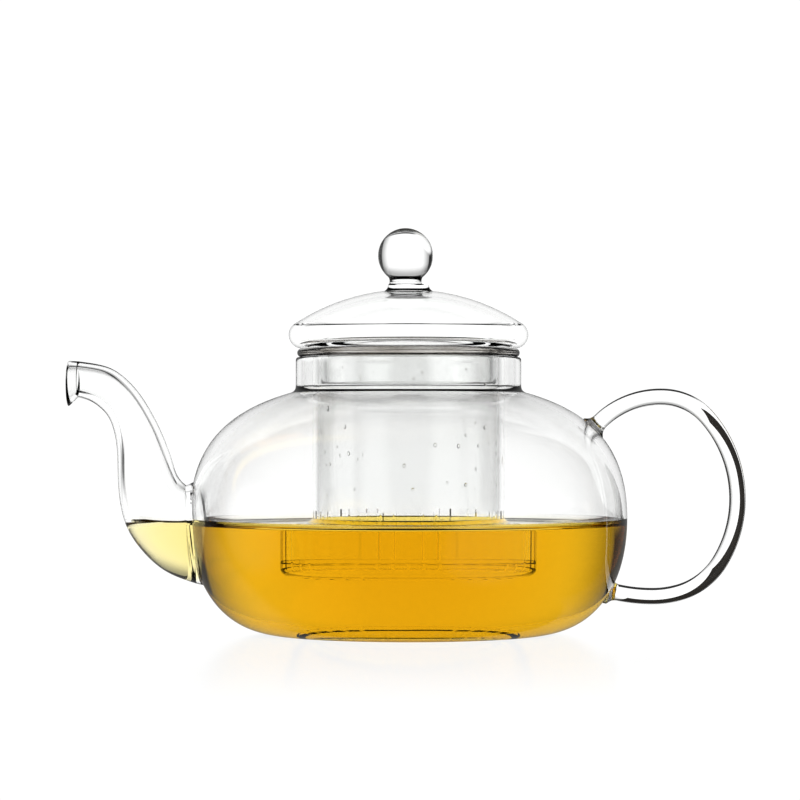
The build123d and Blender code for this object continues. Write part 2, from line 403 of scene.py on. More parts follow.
def ripple_group():
    """Slow waves and fine draw lines of hand-worked glass, as a height and a faint tint."""
    name = "hand_worked_glass"
    if name in bpy.data.node_groups:
        return bpy.data.node_groups[name]
    group = bpy.data.node_groups.new(name, "ShaderNodeTree")
    add = group.interface.new_socket
    add(name="Wave Size", in_out="INPUT", socket_type="NodeSocketFloat").default_value = 60.0
    add(name="Stretch", in_out="INPUT", socket_type="NodeSocketVector").default_value = (1.0, 1.0, 1.0)
    add(name="Tint", in_out="INPUT", socket_type="NodeSocketColor").default_value = (0.985, 0.99, 0.985, 1.0)
    add(name="Height", in_out="OUTPUT", socket_type="NodeSocketFloat")
    add(name="Colour", in_out="OUTPUT", socket_type="NodeSocketColor")
    nodes = group.nodes
    links = group.links
    enter = nodes.new("NodeGroupInput")
    leave = nodes.new("NodeGroupOutput")
    where = nodes.new("ShaderNodeTexCoord")
    scale = nodes.new("ShaderNodeVectorMath")
    scale.operation = "MULTIPLY"
    links.new(where.outputs["Object"], scale.inputs[0])
    links.new(enter.outputs["Stretch"], scale.inputs[1])
    wave = nodes.new("ShaderNodeTexNoise")
    wave.inputs["Detail"].default_value = 1.0
    links.new(scale.outputs[0], wave.inputs["Vector"])
    links.new(enter.outputs["Wave Size"], wave.inputs["Scale"])
    links.new(wave.outputs["Fac"], leave.inputs["Height"])
    tint = nodes.new("ShaderNodeMix")
    tint.data_type = "RGBA"
    tint.inputs["A"].default_value = (1.0, 1.0, 1.0, 1.0)
    links.new(wave.outputs["Fac"], tint.inputs["Factor"])
    links.new(enter.outputs["Tint"], tint.inputs["B"])
    links.new(tint.outputs["Result"], leave.inputs["Colour"])
    return group


def clear_material(name, ior, wave=60.0, stretch=(1.0, 1.0, 1.0), bump=0.0, tint=(0.985, 0.99, 0.985, 1.0)):
    """Clear dielectric with a hand-worked surface."""
    if name in bpy.data.materials:
        return bpy.data.materials[name]
    material = bpy.data.materials.new(name)
    material.use_nodes = True
    nodes = material.node_tree.nodes
    links = material.node_tree.links
    shader = nodes["Principled BSDF"]
    shader.inputs["Roughness"].default_value = 0.0
    shader.inputs["IOR"].default_value = ior
    shader.inputs["Transmission Weight"].default_value = 1.0
    worked = nodes.new("ShaderNodeGroup")
    worked.node_tree = ripple_group()
    worked.inputs["Wave Size"].default_value = wave
    worked.inputs["Stretch"].default_value = stretch
    worked.inputs["Tint"].default_value = tint
    links.new(worked.outputs["Colour"], shader.inputs["Base Color"])
    if bump > 0:
        rise = nodes.new("ShaderNodeBump")
        rise.inputs["Strength"].default_value = 1.0
        rise.inputs["Distance"].default_value = bump
        links.new(worked.outputs["Height"], rise.inputs["Height"])
        links.new(rise.outputs["Normal"], shader.inputs["Normal"])
    return material


def blown_glass():
    return clear_material("clear_blown_glass", GLASS_IOR, wave=45.0, bump=0.05 * MM)


def lid_glass():
    """Glass of low refraction, so that the dome's outlines show only faintly."""
    return clear_material("thin_lid_glass", LID_IOR, wave=45.0, bump=0.03 * MM)


def drawn_glass():
    """Glass of low refraction, for the fillets at the joints."""
    return clear_material("drawn_joint_glass", JOINT_IOR)


def painted_shade_rim():
    """Glass tinted dark brown: painted shade for the dark band round the infuser's rim."""
    # the dark brown tint is painted shade, not the glass's own colour
    return clear_material("rim_painted_shade", GLASS_IOR, tint=(0.12, 0.08, 0.03, 1.0))


def blown_glass_wet():
    return clear_material("wetted_blown_glass", WET_IOR, wave=45.0)


def weld_glass():
    return clear_material("melted_joint", WELD_IOR, tint=(1.0, 1.0, 1.0, 1.0))


def rod_glass():
    return clear_material("clear_rod_glass", GLASS_IOR, wave=120.0, stretch=(0.3, 1.0, 0.3), bump=0.02 * MM)


def foot_glass():
    return clear_material("foot_glass", GLASS_IOR, wave=420.0, bump=0.35 * MM)


def infuser_glass():
    return clear_material("clear_infuser_glass", GLASS_IOR, wave=50.0, stretch=DRAWN_UP, bump=0.03 * MM)


def infuser_glass_wet():
    return clear_material("wetted_infuser_glass", WET_INFUSER_IOR, wave=50.0, stretch=DRAWN_UP)


def water_film():
    return clear_material("water_drop", TEA_IOR, tint=(0.99, 0.99, 0.97, 1.0))


def bubble_film():
    return clear_material("bubble_film", 1.12, tint=(0.99, 0.96, 0.86, 1.0))


def tea_top_material():
    return clear_material("tea_surface", TEA_IOR, wave=30.0, bump=0.01 * MM, tint=(1.0, 0.99, 0.95, 1.0))


def tea_material(tea):
    """Tea inside the glass: its edges bend no light, and its body takes up blue and green."""
    material = clear_material("brewed_tea", WELD_IOR, tint=(1.0, 1.0, 1.0, 1.0))
    nodes = material.node_tree.nodes
    if "Volume Absorption" not in nodes:
        body = nodes.new("ShaderNodeVolumeAbsorption")
        body.inputs["Color"].default_value = (*tea.absorbs, 1.0)
        body.inputs["Density"].default_value = tea.density
        material.node_tree.links.new(body.outputs[0], nodes["Material Output"].inputs["Volume"])
    return material


# ---------------------------------------------------------------- the pot


def belly_outer(pot, inset=0.0, steps=44):
    """Outside outline of the belly, from the edge of the base flat up to the neck's foot."""
    widest = BELLY_HIGH.x - inset
    top = (COLLAR_HIGH.x, BELLY_HIGH.z)
    lean = (pot.shoulder_pull * cos(pot.shoulder_slope), -pot.shoulder_pull * sin(pot.shoulder_slope))
    low = bezier(
        (pot.base_flat, inset),
        (pot.base_flat + pot.base_pull, inset),
        (widest, pot.widest_z - pot.low_side_pull),
        (widest, pot.widest_z),
        steps,
    )
    high = bezier(
        (widest, pot.widest_z),
        (widest, pot.widest_z + pot.high_side_pull),
        (top[0] + lean[0], top[1] + lean[1]),
        top,
        steps,
    )
    return low + high[1:]


def belly_inner(pot, grow=0.0, steps=44):
    """Inside outline of the belly, from the edge of the floor's flat up to the bore of the neck."""
    inset = pot.belly_wall - grow
    widest = BELLY_HIGH.x - inset
    bore = COLLAR_HIGH.x - pot.neck_flare - pot.neck_wall
    slope = pot.shoulder_slope
    top_z = BELLY_HIGH.z + (pot.neck_flare + pot.neck_wall) * tan(slope) - pot.belly_wall / cos(slope)
    lean = (pot.shoulder_pull * cos(slope), -pot.shoulder_pull * sin(slope))
    low = bezier(
        (pot.base_flat, inset),
        (pot.base_flat + pot.base_pull, inset),
        (widest, pot.widest_z - pot.low_side_pull),
        (widest, pot.widest_z),
        steps,
    )
    high = bezier(
        (widest, pot.widest_z),
        (widest, pot.widest_z + pot.high_side_pull),
        (bore + lean[0], top_z + lean[1]),
        (bore, top_z),
        steps,
    )
    return low + high[1:]


def belly_radius_at(pot, height):
    """Outside radius of the belly at a height."""
    outline = belly_outer(pot, steps=400)
    for a, b in zip(outline, outline[1:]):
        if a[1] <= height <= b[1]:
            t = (height - a[1]) / max(b[1] - a[1], 1e-9)
            return a[0] + (b[0] - a[0]) * t
    return outline[0][0]


def envelope(pot, inset=0.0):
    """The belly as a full solid, for trimming what is welded to it."""
    outline = belly_outer(pot, inset)
    edges = chain(
        ([(0.0, inset), outline[0]], 0),
        (outline, 0),
        ([outline[-1], (0.0, outline[-1][1])], 0),
    )
    return lathe("envelope", edges)


def spout_frame(spout, station):
    """Upper and lower points of one spout station."""
    (out_high, up_high), (out_low, up_low) = station
    high = Vector((-BELLY_HIGH.x - out_high * MM, 0, spout.root_z + up_high * MM))
    low = Vector((-BELLY_HIGH.x - out_low * MM, 0, spout.root_z + up_low * MM))
    return high, low


def smooth_line(values, steps):
    """Natural cubic spline through equally spaced values, as evenly stepped points."""
    count = len(values)
    bend = [0.0] * count
    work = [0.0] * count
    for i in range(1, count - 1):
        p = 0.5 * bend[i - 1] + 2.0
        bend[i] = -0.5 / p
        work[i] = (3.0 * (values[i + 1] - 2 * values[i] + values[i - 1]) - 0.5 * work[i - 1]) / p
    for i in range(count - 2, 0, -1):
        bend[i] = bend[i] * bend[i + 1] + work[i]
    bend[0] = bend[-1] = 0.0
    result = []
    for i in range(count - 1):
        for step in range(steps):
            t = step / steps
            s = 1 - t
            value = s * values[i] + t * values[i + 1]
            value += ((s**3 - s) * bend[i] + (t**3 - t) * bend[i + 1]) / 6.0
            result.append(value)
    result.append(values[-1])
    return result


def spout_sections(spout, steps=10):
    """Centre, upward radius vector and radius of closely spaced sections along the spout."""
    ends = [spout_frame(spout, station) for station in SPOUT_STATIONS]
    columns = []
    for side in (0, 1):
        for axis in ("x", "z"):
            columns.append(smooth_line([getattr(pair[side], axis) for pair in ends], steps))
    sections = []
    for hx, hz, lx, lz in zip(*columns):
        centre = Vector(((hx + lx) / 2, 0, (hz + lz) / 2))
        up = Vector(((hx - lx) / 2, 0, (hz - lz) / 2))
        sections.append((centre, up.normalized(), up.length))
    return sections


def tube_rings(mesh, sections, inset, sides):
    rings = []
    for centre, up, radius in sections:
        ring = []
        for i in range(sides):
            turn = 2 * pi * i / sides
            side = Vector((0, 1, 0)) * sin(turn)
            ring.append(mesh.verts.new(centre + (up * cos(turn) + side) * (radius - inset)))
        rings.append(ring)
    return rings


def bridge(mesh, rings, finish):
    for low, high in zip(rings, rings[1:]):
        for i in range(len(low)):
            j = (i + 1) % len(low)
            face = mesh.faces.new((low[i], low[j], high[j], high[i]))
            face.material_index = finish


def plugged_tube(name, sections, inset, sides=ROUND_SMALL):
    """Solid round body through the sections, closed by flat ends."""
    mesh = bmesh.new()
    rings = tube_rings(mesh, sections, inset, sides)
    bridge(mesh, rings, 0)
    for ring in (rings[0], rings[-1]):
        mesh.faces.new(ring)
    return finished(name, mesh)


def root_axis(spout):
    """Centre, way in to the belly and radius of the spout's root plane."""
    centre, up, radius = spout_sections(spout, 1)[0]
    into = Vector((up.z, 0, -up.x))
    if into.x < 0:
        into = -into
    return centre, into, up, radius


def cone(name, spout, start, end, start_radius, end_radius, sides=ROUND_SMALL):
    """Round plug along the root's axis, between two distances in to the belly."""
    centre, into, up, _ = root_axis(spout)
    sections = [(centre + into * start, up, start_radius), (centre + into * end, up, end_radius)]
    return plugged_tube(name, sections, 0.0, sides)


def root_bore(name, spout, grow=0.0):
    radius = root_axis(spout)[3] - spout.wall + grow
    return cone(name, spout, -0.5 * spout.wall, spout.ring_depth, radius, radius)


def root_flare(name, spout):
    radius = root_axis(spout)[3]
    return cone(name, spout, 0.0, spout.ring_depth, radius, radius + spout.ring_flare)


def on_cone(spout, point, tolerance):
    """Whether a point lies on the weld ring's outer cone, and whether it lies inside it."""
    centre, into, _, radius = root_axis(spout)
    step = point - centre
    along = step.dot(into)
    out = (step - into * along).length
    edge = radius + spout.ring_flare * along / spout.ring_depth
    return abs(out - edge) < tolerance, out < edge - tolerance and along > 0


def make_belly(pot, spout, tea):
    """Blown shell with the spout's hole. Under the weld ring its surface is melted glass."""
    outer = belly_outer(pot)
    inner = belly_inner(pot)
    neck_bore, under = inner[-1]
    corner_reach = 3.5 * MM
    corner_depth = 12 * MM
    kept = [(r, z) for r, z in inner if r > neck_bore + corner_reach or z < under - corner_depth]
    pull = (neck_bore + 1.5 * MM, 0.3 * kept[-1][1] + 0.7 * under)
    inner = kept + bezier(kept[-1], pull, (neck_bore, under), (neck_bore, outer[-1][1]), 16)[1:]
    glass, weld, wet = 0, 1, 2
    finishes = [blown_glass(), weld_glass(), blown_glass_wet()]
    dry = 3
    outline = chain(
        (straight((0.0, 0.0), outer[0], 6), glass),
        (outer, glass),
        ([outer[-1], inner[-1]], weld),
        (inner[::-1], dry),
        (straight(inner[0], (0.0, inner[0][1]), 6), dry),
    )
    points, edges = split_at(*outline, tea.level + tea.climb, {dry: wet})
    edges = [glass if edge == dry else edge for edge in edges]
    shell = finished_with(lathe("belly_shell", (points, edges)), finishes)
    core = copy_of(shell, "belly_core")
    flare = finished_with(root_flare("flare", spout), finishes[1:2])
    boolean(shell, flare, "DIFFERENCE")
    boolean(core, flare, "INTERSECT")
    drop(flare)
    bore = finished_with(root_bore("bore", spout), finishes[2:])
    boolean(core, bore, "DIFFERENCE")
    drop(bore)
    for piece in (shell, core):
        for face in piece.data.polygons:
            touches, within = on_cone(spout, face.center, 0.02 * MM)
            reach = hypot(face.center.x, face.center.y)
            outside = piece is core and reach > BELLY_HIGH.x - 0.6 * pot.belly_wall
            across = abs(face.normal.dot(root_axis(spout)[1]))
            if face.center.x < 0 and ((touches and across < 0.5) or (within and outside)):
                face.material_index = weld
            elif face.material_index == wet and face.center.z > tea.level + tea.climb:
                face.material_index = glass
            if face.center.z < 1.05 * pot.belly_wall and abs(face.normal.z) > 0.99:
                face.material_index = weld
    return smooth(join_meshes("belly_shell", [shell, core]))


def make_collar(pot):
    foot = COLLAR_HIGH.x
    neck = foot - pot.neck_flare
    bore = neck - pot.neck_wall
    low = COLLAR_LOW.z
    top = COLLAR_HIGH.z
    edge = 0.4 * pot.neck_wall
    bend = low + 2 * pot.neck_flare
    outline = chain(
        ([(bore, low), (foot, low)], 1),
        (bezier((foot, low), (foot - 0.9 * pot.neck_flare, low + 0.5 * pot.neck_flare),
                (neck, bend - pot.neck_flare), (neck, bend), 12), 0),
        (straight((neck, bend), (neck, top - edge), 8), 0),
        (arc((neck - edge, top - edge), edge, 0, 90, 8), 0),
        (arc((bore + edge, top - edge), edge, 90, 180, 8), 0),
        (straight((bore, top - edge), (bore, low), 8), 0),
    )
    return smooth(lathe("neck_tube", outline, closed=True))


def make_spout(spout, tea):
    mesh = bmesh.new()
    sections = spout_sections(spout)
    outer = tube_rings(mesh, sections, 0.0, ROUND_SMALL)
    inner = tube_rings(mesh, sections, spout.wall, ROUND_SMALL)
    bridge(mesh, outer, 0)
    bridge(mesh, inner, 2)
    for end in (0, -1):
        for i in range(ROUND_SMALL):
            j = (i + 1) % ROUND_SMALL
            face = mesh.faces.new((outer[end][i], outer[end][j], inner[end][j], inner[end][i]))
            face.material_index = 1
    wet_tube(mesh, tea.level + 0.6 * tea.climb)
    return smooth(finished("spout_tube", mesh))


def wet_tube(mesh, level):
    """Cuts the bore at the tea's edge and makes what is below it wet: material 2 stays below, 0 above."""
    bore = [face for face in mesh.faces if face.material_index == 2]
    edges = {edge for face in bore for edge in face.edges}
    verts = {vert for face in bore for vert in face.verts}
    bmesh.ops.bisect_plane(
        mesh, geom=[*verts, *edges, *bore], plane_co=(0, 0, level), plane_no=(0, 0, 1), dist=1e-7
    )
    for face in mesh.faces:
        if face.material_index == 2 and face.calc_center_median().z > level:
            face.material_index = 0


def make_root_ring(pot, spout, tea):
    """Short flared ring melted between the spout's end and the belly."""
    ring = root_flare("root_ring", spout)
    for cutter in (root_bore("bore", spout), envelope(pot)):
        boolean(ring, cutter, "DIFFERENCE")
        drop(cutter)
    centre, into, _, radius = root_axis(spout)
    for face in ring.data.polygons:
        step = face.center - centre
        along = step.dot(into)
        out = (step - into * along).length
        if abs(along) < 0.01 * MM:
            face.material_index = 1
        elif abs(out - radius + spout.wall) < 0.05 * MM:
            face.material_index = 2 if face.center.z < tea.level + 0.5 * tea.climb else 0
        elif on_cone(spout, face.center, 0.02 * MM)[0]:
            face.material_index = 0
        else:
            face.material_index = 1
    return smooth(ring)


def make_lip(spout):
    """Pouring lip: it flares and drops to a fire-polished mouth."""
    centre, _, radius = spout_sections(spout, 1)[-1]
    bore = radius - spout.wall
    mouth = spout.lip_radius
    mouth_bore = mouth - spout.wall
    edge = spout.lip_round
    end = spout.lip_length

    def at(share, start_radius, end_radius):
        return (start_radius + (end_radius - start_radius) * share, end * share)

    stop = 1 - edge / end
    outline = chain(
        ([(bore, 0.0), (radius, 0.0)], 1),
        (straight((radius, 0.0), at(stop, radius, mouth), 6), 0),
        (bezier(at(stop, radius, mouth), at(0.95, radius, mouth), (mouth - 0.3 * edge, end),
                (mouth - edge, end), 8), 0),
        (bezier((mouth_bore + edge, end), (mouth_bore + 0.3 * edge, end), at(0.95, bore, mouth_bore),
                at(stop, bore, mouth_bore), 8), 0),
        (straight(at(stop, bore, mouth_bore), (bore, 0.0), 6), 0),
    )

    def place(r, h, turn):
        drop_z = spout.lip_drop * h / end
        return (centre.x - h, r * sin(turn), centre.z - drop_z + r * cos(turn))

    return smooth(lathe("pouring_lip", outline, ROUND_SMALL, place, closed=True))


# ---------------------------------------------------------------- the handle


def tangent_arc(start, way, end, steps):
    """Points of the arc that leaves start in a direction and reaches end, and its last direction."""
    across = (-way[1], way[0])
    chord = (end[0] - start[0], end[1] - start[1])
    side = chord[0] * across[0] + chord[1] * across[1]
    if abs(side) < 1e-9:
        return straight(start, end, steps), way
    radius = (chord[0] ** 2 + chord[1] ** 2) / (2 * side)
    centre = (start[0] + across[0] * radius, start[1] + across[1] * radius)
    first = atan2(start[1] - centre[1], start[0] - centre[0])
    last = atan2(end[1] - centre[1], end[0] - centre[0])
    sweep = (last - first) % (2 * pi)
    if radius < 0:
        sweep -= 2 * pi
    points = []
    for i in range(steps + 1):
        turn = first + sweep * i / steps
        points.append((centre[0] + abs(radius) * cos(turn), centre[1] + abs(radius) * sin(turn)))
    turn = (1 if radius > 0 else -1) * pi / 2
    last_way = (cos(last + turn), sin(last + turn))
    return points, last_way


def handle_ends(pot, rod):
    """The rod's two end points, one foot length out from the belly."""
    top = (
        belly_radius_at(pot, rod.upper_foot_z) + rod.foot_length * cos(rod.rod_angle),
        rod.upper_foot_z + rod.foot_length * sin(rod.rod_angle),
    )
    bottom = (belly_radius_at(pot, rod.lower_foot_z) + rod.foot_length, rod.lower_foot_z)
    return top, bottom


def handle_runs(pot, rod, steps=26):
    """Points of the upper and lower run from the outermost point, with the direction in to each foot."""
    top, bottom = handle_ends(pot, rod)
    outermost = (HANDLE_HIGH.x - rod.rod / 2, rod.outermost_z)
    runs = []
    for end, way, bends in ((top, (0.0, 1.0), UPPER_BENDS), (bottom, (0.0, -1.0), LOWER_BENDS)):
        points = [outermost]
        for stop in [(end[0] + x * MM, end[1] + z * MM) for x, z in bends] + [end]:
            more, way = tangent_arc(points[-1], way, stop, steps)
            points += more[1:]
        runs.append((points, way))
    return runs


def make_handle(pot, rod, sides=64):
    """Solid rod bent in one plane between the two feet."""
    (upper, _), (lower, _) = handle_runs(pot, rod)
    path = [Vector((x, 0, z)) for x, z in upper[::-1] + lower[1:]]
    mesh = bmesh.new()
    rings = []
    for i, point in enumerate(path):
        along = (path[min(i + 1, len(path) - 1)] - path[max(i - 1, 0)]).normalized()
        out = Vector((along.z, 0, -along.x))
        ring = []
        for k in range(sides):
            turn = 2 * pi * k / sides
            across = out * cos(turn) + Vector((0, 1, 0)) * sin(turn)
            ring.append(mesh.verts.new(point + across * rod.rod / 2))
        rings.append(ring)
    bridge(mesh, rings, 0)
    for ring in (rings[0], rings[-1]):
        mesh.faces.new(ring).material_index = 1
    return smooth(finished("handle_rod", mesh))


def make_foot(pot, rod, name, run):
    """Melted pad between the rod's end and the belly, trimmed to the belly's surface."""
    points, way = run
    end = Vector((points[-1][0], 0, points[-1][1]))
    into = Vector((way[0], 0, way[1]))
    out = Vector((-into.z, 0, into.x))
    reach = rod.foot_length
    stem = reach + rod.foot_stem
    outline = chain(
        ([(0.0, 0.0), (rod.rod / 2, 0.0)], 1),
        (bezier((rod.rod / 2, 0.0), (rod.rod / 2, 0.7 * reach), (rod.foot_radius, 0.9 * reach),
                (rod.foot_radius, reach), 16), 0),
        ([(rod.foot_radius, reach), (rod.foot_radius, stem)], 0),
        ([(rod.foot_radius, stem), (0.0, stem)], 0),
    )

    def place(r, h, turn):
        return end + into * h + (out * cos(turn) + Vector((0, 1, 0)) * sin(turn)) * r

    foot = lathe(name, outline, 64, place)
    trim = envelope(pot, SKIN)
    boolean(foot, trim, "DIFFERENCE")
    drop(trim)
    return smooth(foot)


# ---------------------------------------------------------------- the infuser


def slot_cutter_tree(infuser):
    """Geometry nodes that set narrow upright cutters in even groups round a circle."""
    tree = bpy.data.node_groups.new("slot_cutters", "GeometryNodeTree")
    add = tree.interface.new_socket
    add(name="Geometry", in_out="INPUT", socket_type="NodeSocketGeometry")
    for name, value, kind in (
        ("Groups", infuser.slot_groups, "NodeSocketInt"),
        ("Slots", infuser.slots_in_group, "NodeSocketInt"),
        ("Pitch", infuser.slot_pitch, "NodeSocketFloat"),
        ("Radius", 0.03, "NodeSocketFloat"),
        ("Size", (0.01, 0.001, 0.01), "NodeSocketVector"),
        ("Height", 0.0, "NodeSocketFloat"),
    ):
        add(name=name, in_out="INPUT", socket_type=kind).default_value = value
    add(name="Geometry", in_out="OUTPUT", socket_type="NodeSocketGeometry")
    nodes = tree.nodes
    links = tree.links
    enter = nodes.new("NodeGroupInput")
    leave = nodes.new("NodeGroupOutput")

    def math(operation, a, b=None):
        node = nodes.new("ShaderNodeMath")
        node.operation = operation
        for socket, value in zip(node.inputs, (a, b)):
            if value is None:
                continue
            if isinstance(value, (int, float)):
                socket.default_value = value
            else:
                links.new(value, socket)
        return node.outputs[0]

    index = nodes.new("GeometryNodeInputIndex").outputs[0]
    group = math("FLOOR", math("DIVIDE", index, enter.outputs["Slots"]))
    place = math("MODULO", index, enter.outputs["Slots"])
    middle = math("DIVIDE", math("SUBTRACT", enter.outputs["Slots"], 1.0), 2.0)
    turn = math("MULTIPLY", group, math("DIVIDE", 2 * pi, enter.outputs["Groups"]))
    turn = math("ADD", turn, math("MULTIPLY", math("SUBTRACT", place, middle), enter.outputs["Pitch"]))
    turn = math("SUBTRACT", turn, pi / 2)
    where = nodes.new("ShaderNodeCombineXYZ")
    links.new(math("MULTIPLY", math("COSINE", turn), enter.outputs["Radius"]), where.inputs[0])
    links.new(math("MULTIPLY", math("SINE", turn), enter.outputs["Radius"]), where.inputs[1])
    links.new(enter.outputs["Height"], where.inputs[2])
    points = nodes.new("GeometryNodePoints")
    links.new(math("MULTIPLY", enter.outputs["Groups"], enter.outputs["Slots"]), points.inputs["Count"])
    links.new(where.outputs[0], points.inputs["Position"])
    box = nodes.new("GeometryNodeMeshCube")
    links.new(enter.outputs["Size"], box.inputs["Size"])
    facing = nodes.new("ShaderNodeCombineXYZ")
    links.new(turn, facing.inputs[2])
    copies = nodes.new("GeometryNodeInstanceOnPoints")
    links.new(points.outputs[0], copies.inputs["Points"])
    links.new(box.outputs["Mesh"], copies.inputs["Instance"])
    links.new(facing.outputs[0], copies.inputs["Rotation"])
    real = nodes.new("GeometryNodeRealizeInstances")
    links.new(copies.outputs[0], real.inputs[0])
    finish = nodes.new("GeometryNodeSetMaterial")
    finish.inputs["Material"].default_value = infuser_glass_wet()
    links.new(real.outputs[0], finish.inputs["Geometry"])
    links.new(finish.outputs[0], leave.inputs[0])
    return tree


def grown(name, tree, values):
    """Plain mesh object from a geometry tree with its inputs set by identifier."""
    piece = bpy.data.objects.new(name, bpy.data.meshes.new(name))
    bpy.context.scene.collection.objects.link(piece)
    modifier = piece.modifiers.new(name, "NODES")
    modifier.node_group = tree
    sockets = {item.name: item.identifier for item in tree.interface.items_tree if item.in_out == "INPUT"}
    for key, value in values.items():
        modifier[sockets[key]] = value
    graph = bpy.context.evaluated_depsgraph_get()
    data = bpy.data.meshes.new_from_object(piece.evaluated_get(graph))
    piece.modifiers.clear()
    old = piece.data
    piece.data = data
    bpy.data.meshes.remove(old)
    return piece


def slot_cutters(infuser):
    bore = TUBE_HIGH.x - infuser.wall
    reach = infuser.wall + infuser.slot_bite + 2 * MM
    tall = BASE_HIGH.z + infuser.slot_height - BASE_LOW.z
    values = {
        "Radius": bore - infuser.slot_bite + reach / 2,
        "Size": (reach, infuser.slot_width, tall),
        "Height": BASE_LOW.z + tall / 2 - 0.5 * MM,
    }
    return grown("slot_cutters", slot_cutter_tree(infuser), values)


def make_rim(infuser):
    outer = RIM_HIGH.x
    bore = TUBE_HIGH.x - infuser.wall
    low = RIM_LOW.z
    top = RIM_HIGH.z
    edge = (top - low) / 2
    soft = 0.3 * infuser.rim_round
    outline = chain(
        ([(bore, low), (TUBE_HIGH.x, low)], 1),
        (straight((TUBE_HIGH.x, low), (outer - edge, low), 4), 0),
        (arc((outer - edge, low + edge), edge, -90, 0, 10), 0),
        (arc((outer - edge, top - edge), edge, 0, 90, 10), 0),
        (arc((bore + soft, top - soft), soft, 90, 180, 6), 0),
        (straight((bore, top - soft), (bore, low), 3), 0),
    )
    return smooth(lathe("infuser_lip", outline, closed=True))


def make_tube(infuser, tea):
    outer = TUBE_HIGH.x
    bore = outer - infuser.wall
    low = BASE_HIGH.z
    top = RIM_LOW.z
    outline = chain(
        ([(bore, low), (outer, low)], 1),
        (straight((outer, low), (outer, top), 40), 0),
        ([(outer, top), (bore, top)], 1),
        (straight((bore, top), (bore, low), 40), 0),
    )
    outline = split_at(*outline, tea.level + tea.climb, {0: 2})
    tube = lathe("infuser_wall", outline, closed=True)
    cutters = slot_cutters(infuser)
    boolean(tube, cutters, "DIFFERENCE")
    drop(cutters)
    for face in tube.data.polygons:
        at_joint = min(abs(face.center.z - low), abs(face.center.z - top)) < 0.01 * MM
        wet = face.center.z < tea.level + tea.climb
        face.material_index = 1 if at_joint else 2 if wet else 0
    return smooth(tube)


def make_floor_disc(infuser):
    outer = BASE_HIGH.x
    edge = infuser.base_round
    low = BASE_LOW.z
    top = BASE_HIGH.z
    bore = outer - infuser.wall
    outline = chain(
        (straight((0.0, low), (outer - edge, low), 8), 2),
        (arc((outer - edge, low + edge), edge, -90, 0, 10), 2),
        ([(outer, low + edge), (outer, top)], 2),
        ([(outer, top), (bore, top)], 1),
        (straight((bore, top), (0.0, top), 8), 2),
    )
    disc = lathe("infuser_floor", outline)
    cutters = slot_cutters(infuser)
    boolean(disc, cutters, "DIFFERENCE")
    drop(cutters)
    for face in disc.data.polygons:
        at_joint = abs(face.center.z - top) < 0.01 * MM and hypot(face.center.x, face.center.y) > bore
        across = Vector((-face.center.y, face.center.x, 0.0)).normalized()
        in_slot = abs(face.normal.dot(across)) > 0.9
        face.material_index = 1 if at_joint or in_slot else 2
    return smooth(disc)


# ---------------------------------------------------------------- the lid


def dome_curve(lid, inset, start_r, steps=72):
    """Crown arc and rolled edge, moved in by the inset, from a starting radius to under the roll."""
    roll_r = DOME_HIGH.x - lid.roll
    roll_z = DOME_LOW.z + lid.roll
    centre_z = crown_z() - lid.crown_radius
    crown = lid.crown_radius - inset
    roll = lid.roll - inset
    meet = atan2(roll_z - centre_z, roll_r)
    begin = acos(start_r / crown)
    turns = [begin + (meet - begin) * i / steps for i in range(steps + 1)]
    crown_arc = [(crown * cos(turn), centre_z + crown * sin(turn)) for turn in turns]
    roll_arc = arc((roll_r, roll_z), roll, meet * 180 / pi, -90, 48)
    return crown_arc + roll_arc[1:]


def crown_z():
    """Height of the crown as a full arc, worked out from the flat that the boss stands on."""
    lid = bpy.context.scene.teapot_lid
    boss = BOSS_HIGH.x
    return BOSS_LOW.z + lid.crown_radius - sqrt(lid.crown_radius**2 - boss**2)


def make_dome(lid):
    boss = BOSS_HIGH.x
    bore = SKIRT_HIGH.x - lid.skirt_wall
    outer = dome_curve(lid, 0.0, boss)
    inner = dome_curve(lid, lid.wall, 0.0)
    low = DOME_LOW.z
    outline = chain(
        ([(0.0, BOSS_LOW.z), (boss, BOSS_LOW.z)], 1),
        (outer, 0),
        (straight(outer[-1], (SKIRT_HIGH.x, low), 4), 0),
        ([(SKIRT_HIGH.x, low), (bore, low)], 1),
        (bezier((bore, low), (bore, low + lid.wall), (bore + lid.wall, low + lid.wall), inner[-1], 12), 0),
        (inner[::-1], 0),
    )
    return smooth(lathe("lid_crown", outline))


def make_skirt(lid):
    outer = SKIRT_HIGH.x
    bore = outer - lid.skirt_wall
    soft = 0.4 * lid.skirt_wall
    low = SKIRT_LOW.z
    top = DOME_LOW.z
    outline = chain(
        ([(outer, top), (bore, top)], 1),
        (straight((bore, top), (bore, low + soft), 6), 0),
        (arc((bore + soft, low + soft), soft, 180, 270, 8), 0),
        (arc((outer - soft, low + soft), soft, -90, 0, 8), 0),
        (straight((outer, low + soft), (outer, top), 6), 0),
    )
    return smooth(lathe("lid_collar", outline, closed=True))


def make_boss(lid):
    outer = BOSS_HIGH.x
    top = BOSS_HIGH.z
    waist = max(KNOB_NECK_HIGH.x, -KNOB_NECK_LOW.x) + 0.1 * MM
    tall = top - BOSS_LOW.z
    outline = chain(
        ([(0.0, BOSS_LOW.z), (outer, BOSS_LOW.z)], 1),
        (bezier((outer, BOSS_LOW.z), (waist + 0.4 * (outer - waist), BOSS_LOW.z + 0.25 * tall),
                (waist, BOSS_LOW.z + 0.5 * tall), (waist, top), 24), 0),
        (straight((waist, top), (0.0, top), 4), 1),
    )
    return smooth(lathe("lid_button", outline, ROUND_SMALL))


def off_axis(centre_x):
    def place(r, h, turn):
        return (centre_x + r * cos(turn), r * sin(turn), h)

    return place


